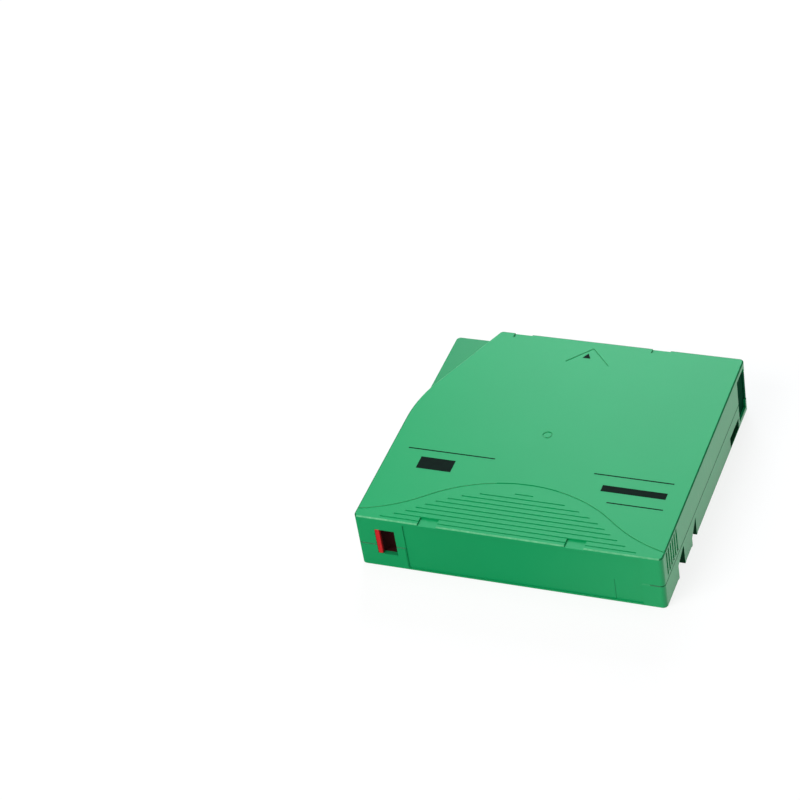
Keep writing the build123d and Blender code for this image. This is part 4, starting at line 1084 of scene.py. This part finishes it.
@dataclass
class Springs:
    """The round-wire springs of the brake and of the door, in place of the CAD's squared wire."""

    finishes: Finishes
    axis: tuple[float, float] = (-1.7, 0.0)
    wire_radius: float = 0.4
    coil_radius: float = 7.4
    turns: float = 3.5
    brake_travel: float = 2.0
    door_post: tuple[float, float] = (43.8, 29.5)
    door_wire_radius: float = 0.3
    door_coil_radius: float = 3.0
    door_turns: int = 3
    door_pitch: float = 0.65
    door_arm: float = 8.0
    arm_start: float = 0.3
    arm_steps: int = 12
    lug_point: tuple[float, float] = (49.7, 37.85)
    steps: int = 48
    sides: int = 12

    def build(self) -> None:
        """Builds the brake's spring, on the case with a mesh of its own, and the door's, on no body."""
        low, high = node_span("brake_spring")
        coil = self.brake_path(low[2] + self.wire_radius, high[2] - self.wire_radius)
        spring = self.wound("brake_spring", coil, self.wire_radius, Body.CASE)
        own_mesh(spring)
        low, high = node_span("door_spring")
        line = self.door_path(low[2] + self.door_wire_radius)
        spring = self.wound("door_spring", line, self.door_wire_radius, None)
        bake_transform(spring)

    def brake_path(self, bottom: float, top: float) -> np.ndarray:
        """Works out the brake coil's line: angle 2 pi n t at radius R, rising with t from 0 to 1.

        Args:
            bottom: the height of the wire's centre at its lower end.
            top: the same at its upper end.

        Returns:
            The points of the centreline.
        """
        share = np.linspace(0.0, 1.0, int(self.turns * self.steps) + 1)
        turn = 2.0 * np.pi * self.turns * share
        x = self.axis[0] + self.coil_radius * np.cos(turn)
        y = self.axis[1] + self.coil_radius * np.sin(turn)
        return np.stack([x, y, bottom + (top - bottom) * share], axis=1)

    def door_path(self, bottom: float) -> np.ndarray:
        """Works out the door spring's line: an arm, a coil about the post, an arm to the door's lug.

        The coil ends where its tangent aims at the lug: at the lug's bearing less acos(R / distance).

        Args:
            bottom: the height of the coil's start.

        Returns:
            The points of the centreline.
        """
        way = np.array(self.lug_point) - np.array(self.door_post)
        distance = float(np.hypot(*way))
        last = math.atan2(way[1], way[0]) - math.acos(self.door_coil_radius / distance)
        turn = np.linspace(0.0, 2.0 * np.pi * self.door_turns + last, self.door_turns * self.steps)
        rise = self.door_pitch / (2.0 * np.pi)
        coil = np.stack([
            self.door_post[0] + self.door_coil_radius * np.cos(turn),
            self.door_post[1] + self.door_coil_radius * np.sin(turn),
            bottom + rise * turn,
        ], axis=1)
        start = np.array([0.0, self.door_coil_radius, rise])
        start /= np.linalg.norm(start)
        end = coil[-1] - coil[-2]
        end /= np.linalg.norm(end)
        before = np.linspace(self.door_arm, self.arm_start, self.arm_steps)[:, None] * -start + coil[0]
        reach = math.sqrt(distance**2 - self.door_coil_radius**2)
        after = np.linspace(self.arm_start, reach, self.arm_steps)[:, None] * end + coil[-1]
        return np.concatenate([before, coil, after])

    def wound(self, node: str, path: np.ndarray, radius: float, body: Body | None) -> bpy.types.Object:
        """Sweeps the wire along its line and stands it in for the CAD spring.

        Args:
            node: the CAD spring's name.
            path: the points of the centreline.
            radius: the wire's radius.
            body: the body that it rides on, or None for a piece on no body.

        Returns:
            The new wire.
        """
        grid = tube(path, radius, self.sides)
        wire = self.finishes.of("wire")
        piece = make_piece(f"{node}_wire", grid, capped_grid(grid), body, wire)
        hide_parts(node)
        LOG.info("wound %s", node)
        return piece


@dataclass
class Studio:
    """The plain floor, the soft lights and the camera at the photograph's angle."""

    camera_place: Point = (0.25991, -0.61410, 0.58267)
    camera_aim: Point = (-0.06415, 0.01993, 0.01075)
    camera_roll: float = -10.45
    lens: float = 116.85
    floor_half: float = 3.0
    floor_gap: float = 0.00002
    floor_colour: Rgb = (0.74, 0.74, 0.74)
    floor_paper: float = 0.78
    mirrored_white: float = 0.35
    floor_white: float = 1.06
    mirrored_floor_glow: tuple[float, float] = (0.03, 1.75)
    mirrored_ramp: float = 0.06
    world_light: float = 0.24
    cool: Rgb = (0.78, 0.88, 1.0)

    def build(self) -> None:
        """Builds the studio."""
        self.floor()
        self.world()
        self.lamp("key", (-0.55, -0.97, 0.94), size=0.9, power=16.5)
        self.lamp("sheen", (-0.12, 0.50, 0.34), size=0.3, power=2.3, colour=self.cool)
        self.lamp("overhead", (0.0, 0.0, 1.4), size=1.0, power=5.8)
        self.lamp("under", (0.0, 0.0, -0.9), size=0.6, power=3.0)
        self.camera()
        bpy.context.scene.view_settings.view_transform = "Standard"

    def floor(self) -> None:
        """Makes the plain pale floor."""
        half = self.floor_half
        mesh = bpy.data.meshes.new("floor")
        low = -self.floor_gap
        corners = [(-half, -half, low), (half, -half, low), (half, half, low), (-half, half, low)]
        mesh.from_pydata(corners, [], [(0, 1, 2, 3)])
        finish = Finish("floor")
        finish.feed("Base Color", (*self.floor_colour, 1.0))
        finish.feed("Roughness", 0.9)
        finish.feed("Specular IOR Level", 0.0)
        self.lighten_for_camera(finish.tree, finish.shader)
        mesh.materials.append(finish.material)
        plane = bpy.data.objects.new("floor", mesh)
        bpy.context.scene.collection.objects.link(plane)

    def lighten_for_camera(self, tree: Tree, shader: Node) -> None:
        """Lets a camera see the floor nearly white with a weak shadow, and reflections see it by side.

        A mirror ray finds the floor glowing, bright on the cartridge's right and dim on its left: a
        painted reflection. A camera below the floor looks through it, and light from below passes it only
        under the cartridge.

        Args:
            tree: the floor's node tree.
            shader: its Principled shader.
        """
        path = add_node(tree, "LightPath")
        apart = add_node(tree, "SeparateXYZ", Vector=add_node(tree, "TexCoord").outputs["Object"])
        dim, bright = self.mirrored_floor_glow
        x = apart.outputs["X"]
        # Painted reflection: in mirror rays the floor glows, from dim on the left to bright on the right.
        side = map_range(tree, x, From_Max=self.mirrored_ramp, To_Min=dim, To_Max=bright)
        camera, glossy = path.outputs["Is Camera Ray"], path.outputs["Is Glossy Ray"]
        seen = times(tree, camera, self.floor_white)
        strength = math_node(tree, "ADD", seen, times(tree, glossy, side))
        floor_glow = add_node(tree, "Emission", Strength=strength)
        share = times(tree, camera, self.floor_paper)
        blend = add_node(tree, "MixShader", Fac=math_node(tree, "ADD", share, glossy))
        backfacing = add_node(tree, "NewGeometry").outputs["Backfacing"]
        from_below = times(tree, backfacing, camera)
        covered = self.under_cartridge(tree, apart)
        under = times(tree, covered, path.outputs["Is Shadow Ray"])
        beneath = add_node(tree, "MixShader", Fac=math_node(tree, "MAXIMUM", from_below, under))
        clear = add_node(tree, "BsdfTransparent")
        for mix, first, second in ((blend, shader, floor_glow), (beneath, blend, clear)):
            tree.links.new(first.outputs[0], mix.inputs[1])
            tree.links.new(second.outputs[0], mix.inputs[2])
        tree.links.new(beneath.outputs[0], tree.nodes["Material Output"].inputs["Surface"])

    def under_cartridge(self, tree: Tree, apart: Node) -> Socket:
        """Masks the part of the floor that the cartridge stands on.

        Args:
            tree: the floor's node tree.
            apart: the floor's separated Object coordinates.

        Returns:
            1 within the cartridge's box and 0 outside it.
        """
        inside = [
            math_node(tree, "LESS_THAN", math_node(tree, "ABSOLUTE", place), limit)
            for place, limit in zip(apart.outputs[:2], CAD_BOX[1])
        ]
        return times(tree, *inside)

    def world(self) -> None:
        """Makes the world: white to a camera or through glass, pale in a mirror, softer as a light."""
        world = bpy.data.worlds.new("studio")
        bpy.context.scene.world = world
        world.use_nodes = True
        tree = world.node_tree
        background = tree.nodes["Background"]
        put(tree, background.inputs["Color"], (1.0, 1.0, 1.0, 1.0))
        path = add_node(tree, "LightPath")
        mirrored = times(tree, path.outputs["Is Glossy Ray"], self.mirrored_white)
        seen = math_node(tree, "MAXIMUM", path.outputs["Is Camera Ray"], mirrored)
        seen = math_node(tree, "MAXIMUM", seen, path.outputs["Is Transmission Ray"])
        strength = map_range(tree, seen, To_Min=self.world_light)
        tree.links.new(strength, background.inputs["Strength"])

    def lamp(
        self, name: str, place: Point, size: float, power: float, colour: Rgb = (1.0, 1.0, 1.0)
    ) -> None:
        """Adds a square soft light that faces the cartridge.

        Args:
            name: the lamp's name.
            place: where it stands, in metres.
            size: the length of its side, in metres.
            power: its power in watts.
            colour: the colour of its light.
        """
        light = bpy.data.lights.new(name, "AREA")
        light.shape = "SQUARE"
        light.size = size
        light.energy = power
        light.color = colour
        lamp = bpy.data.objects.new(name, light)
        lamp.location = place
        lamp.visible_camera = False
        lamp.rotation_euler = (-Vector(place)).to_track_quat("-Z", "Y").to_euler()
        bpy.context.scene.collection.objects.link(lamp)

    def camera(self) -> None:
        """Places the camera by its own axes: right, up and backwards."""
        place = Vector(self.camera_place)
        ahead = (Vector(self.camera_aim) - place).normalized()
        level_right = ahead.cross(Vector((0.0, 0.0, 1.0))).normalized()
        level_up = level_right.cross(ahead)
        roll = math.radians(self.camera_roll)
        right = math.cos(roll) * level_right + math.sin(roll) * level_up
        upward = right.cross(ahead)
        camera = bpy.data.cameras.new("camera")
        camera.lens = self.lens
        camera.sensor_width = 36.0
        holder = bpy.data.objects.new("camera", camera)
        turned = Matrix((right, upward, -ahead)).transposed()
        holder.matrix_world = Matrix.Translation(place) @ turned.to_4x4()
        bpy.context.scene.collection.objects.link(holder)
        bpy.context.scene.camera = holder


def main() -> None:
    """Builds the studio and every sub-assembly in order."""
    logging.basicConfig(level=logging.INFO, format="%(name)s: %(message)s")
    Studio().build()
    finishes = Finishes()
    Case(finishes).build()
    Reel(finishes).build()
    Hardware(finishes).build()
    Springs(finishes).build()


if __name__ == "__main__":
    main()
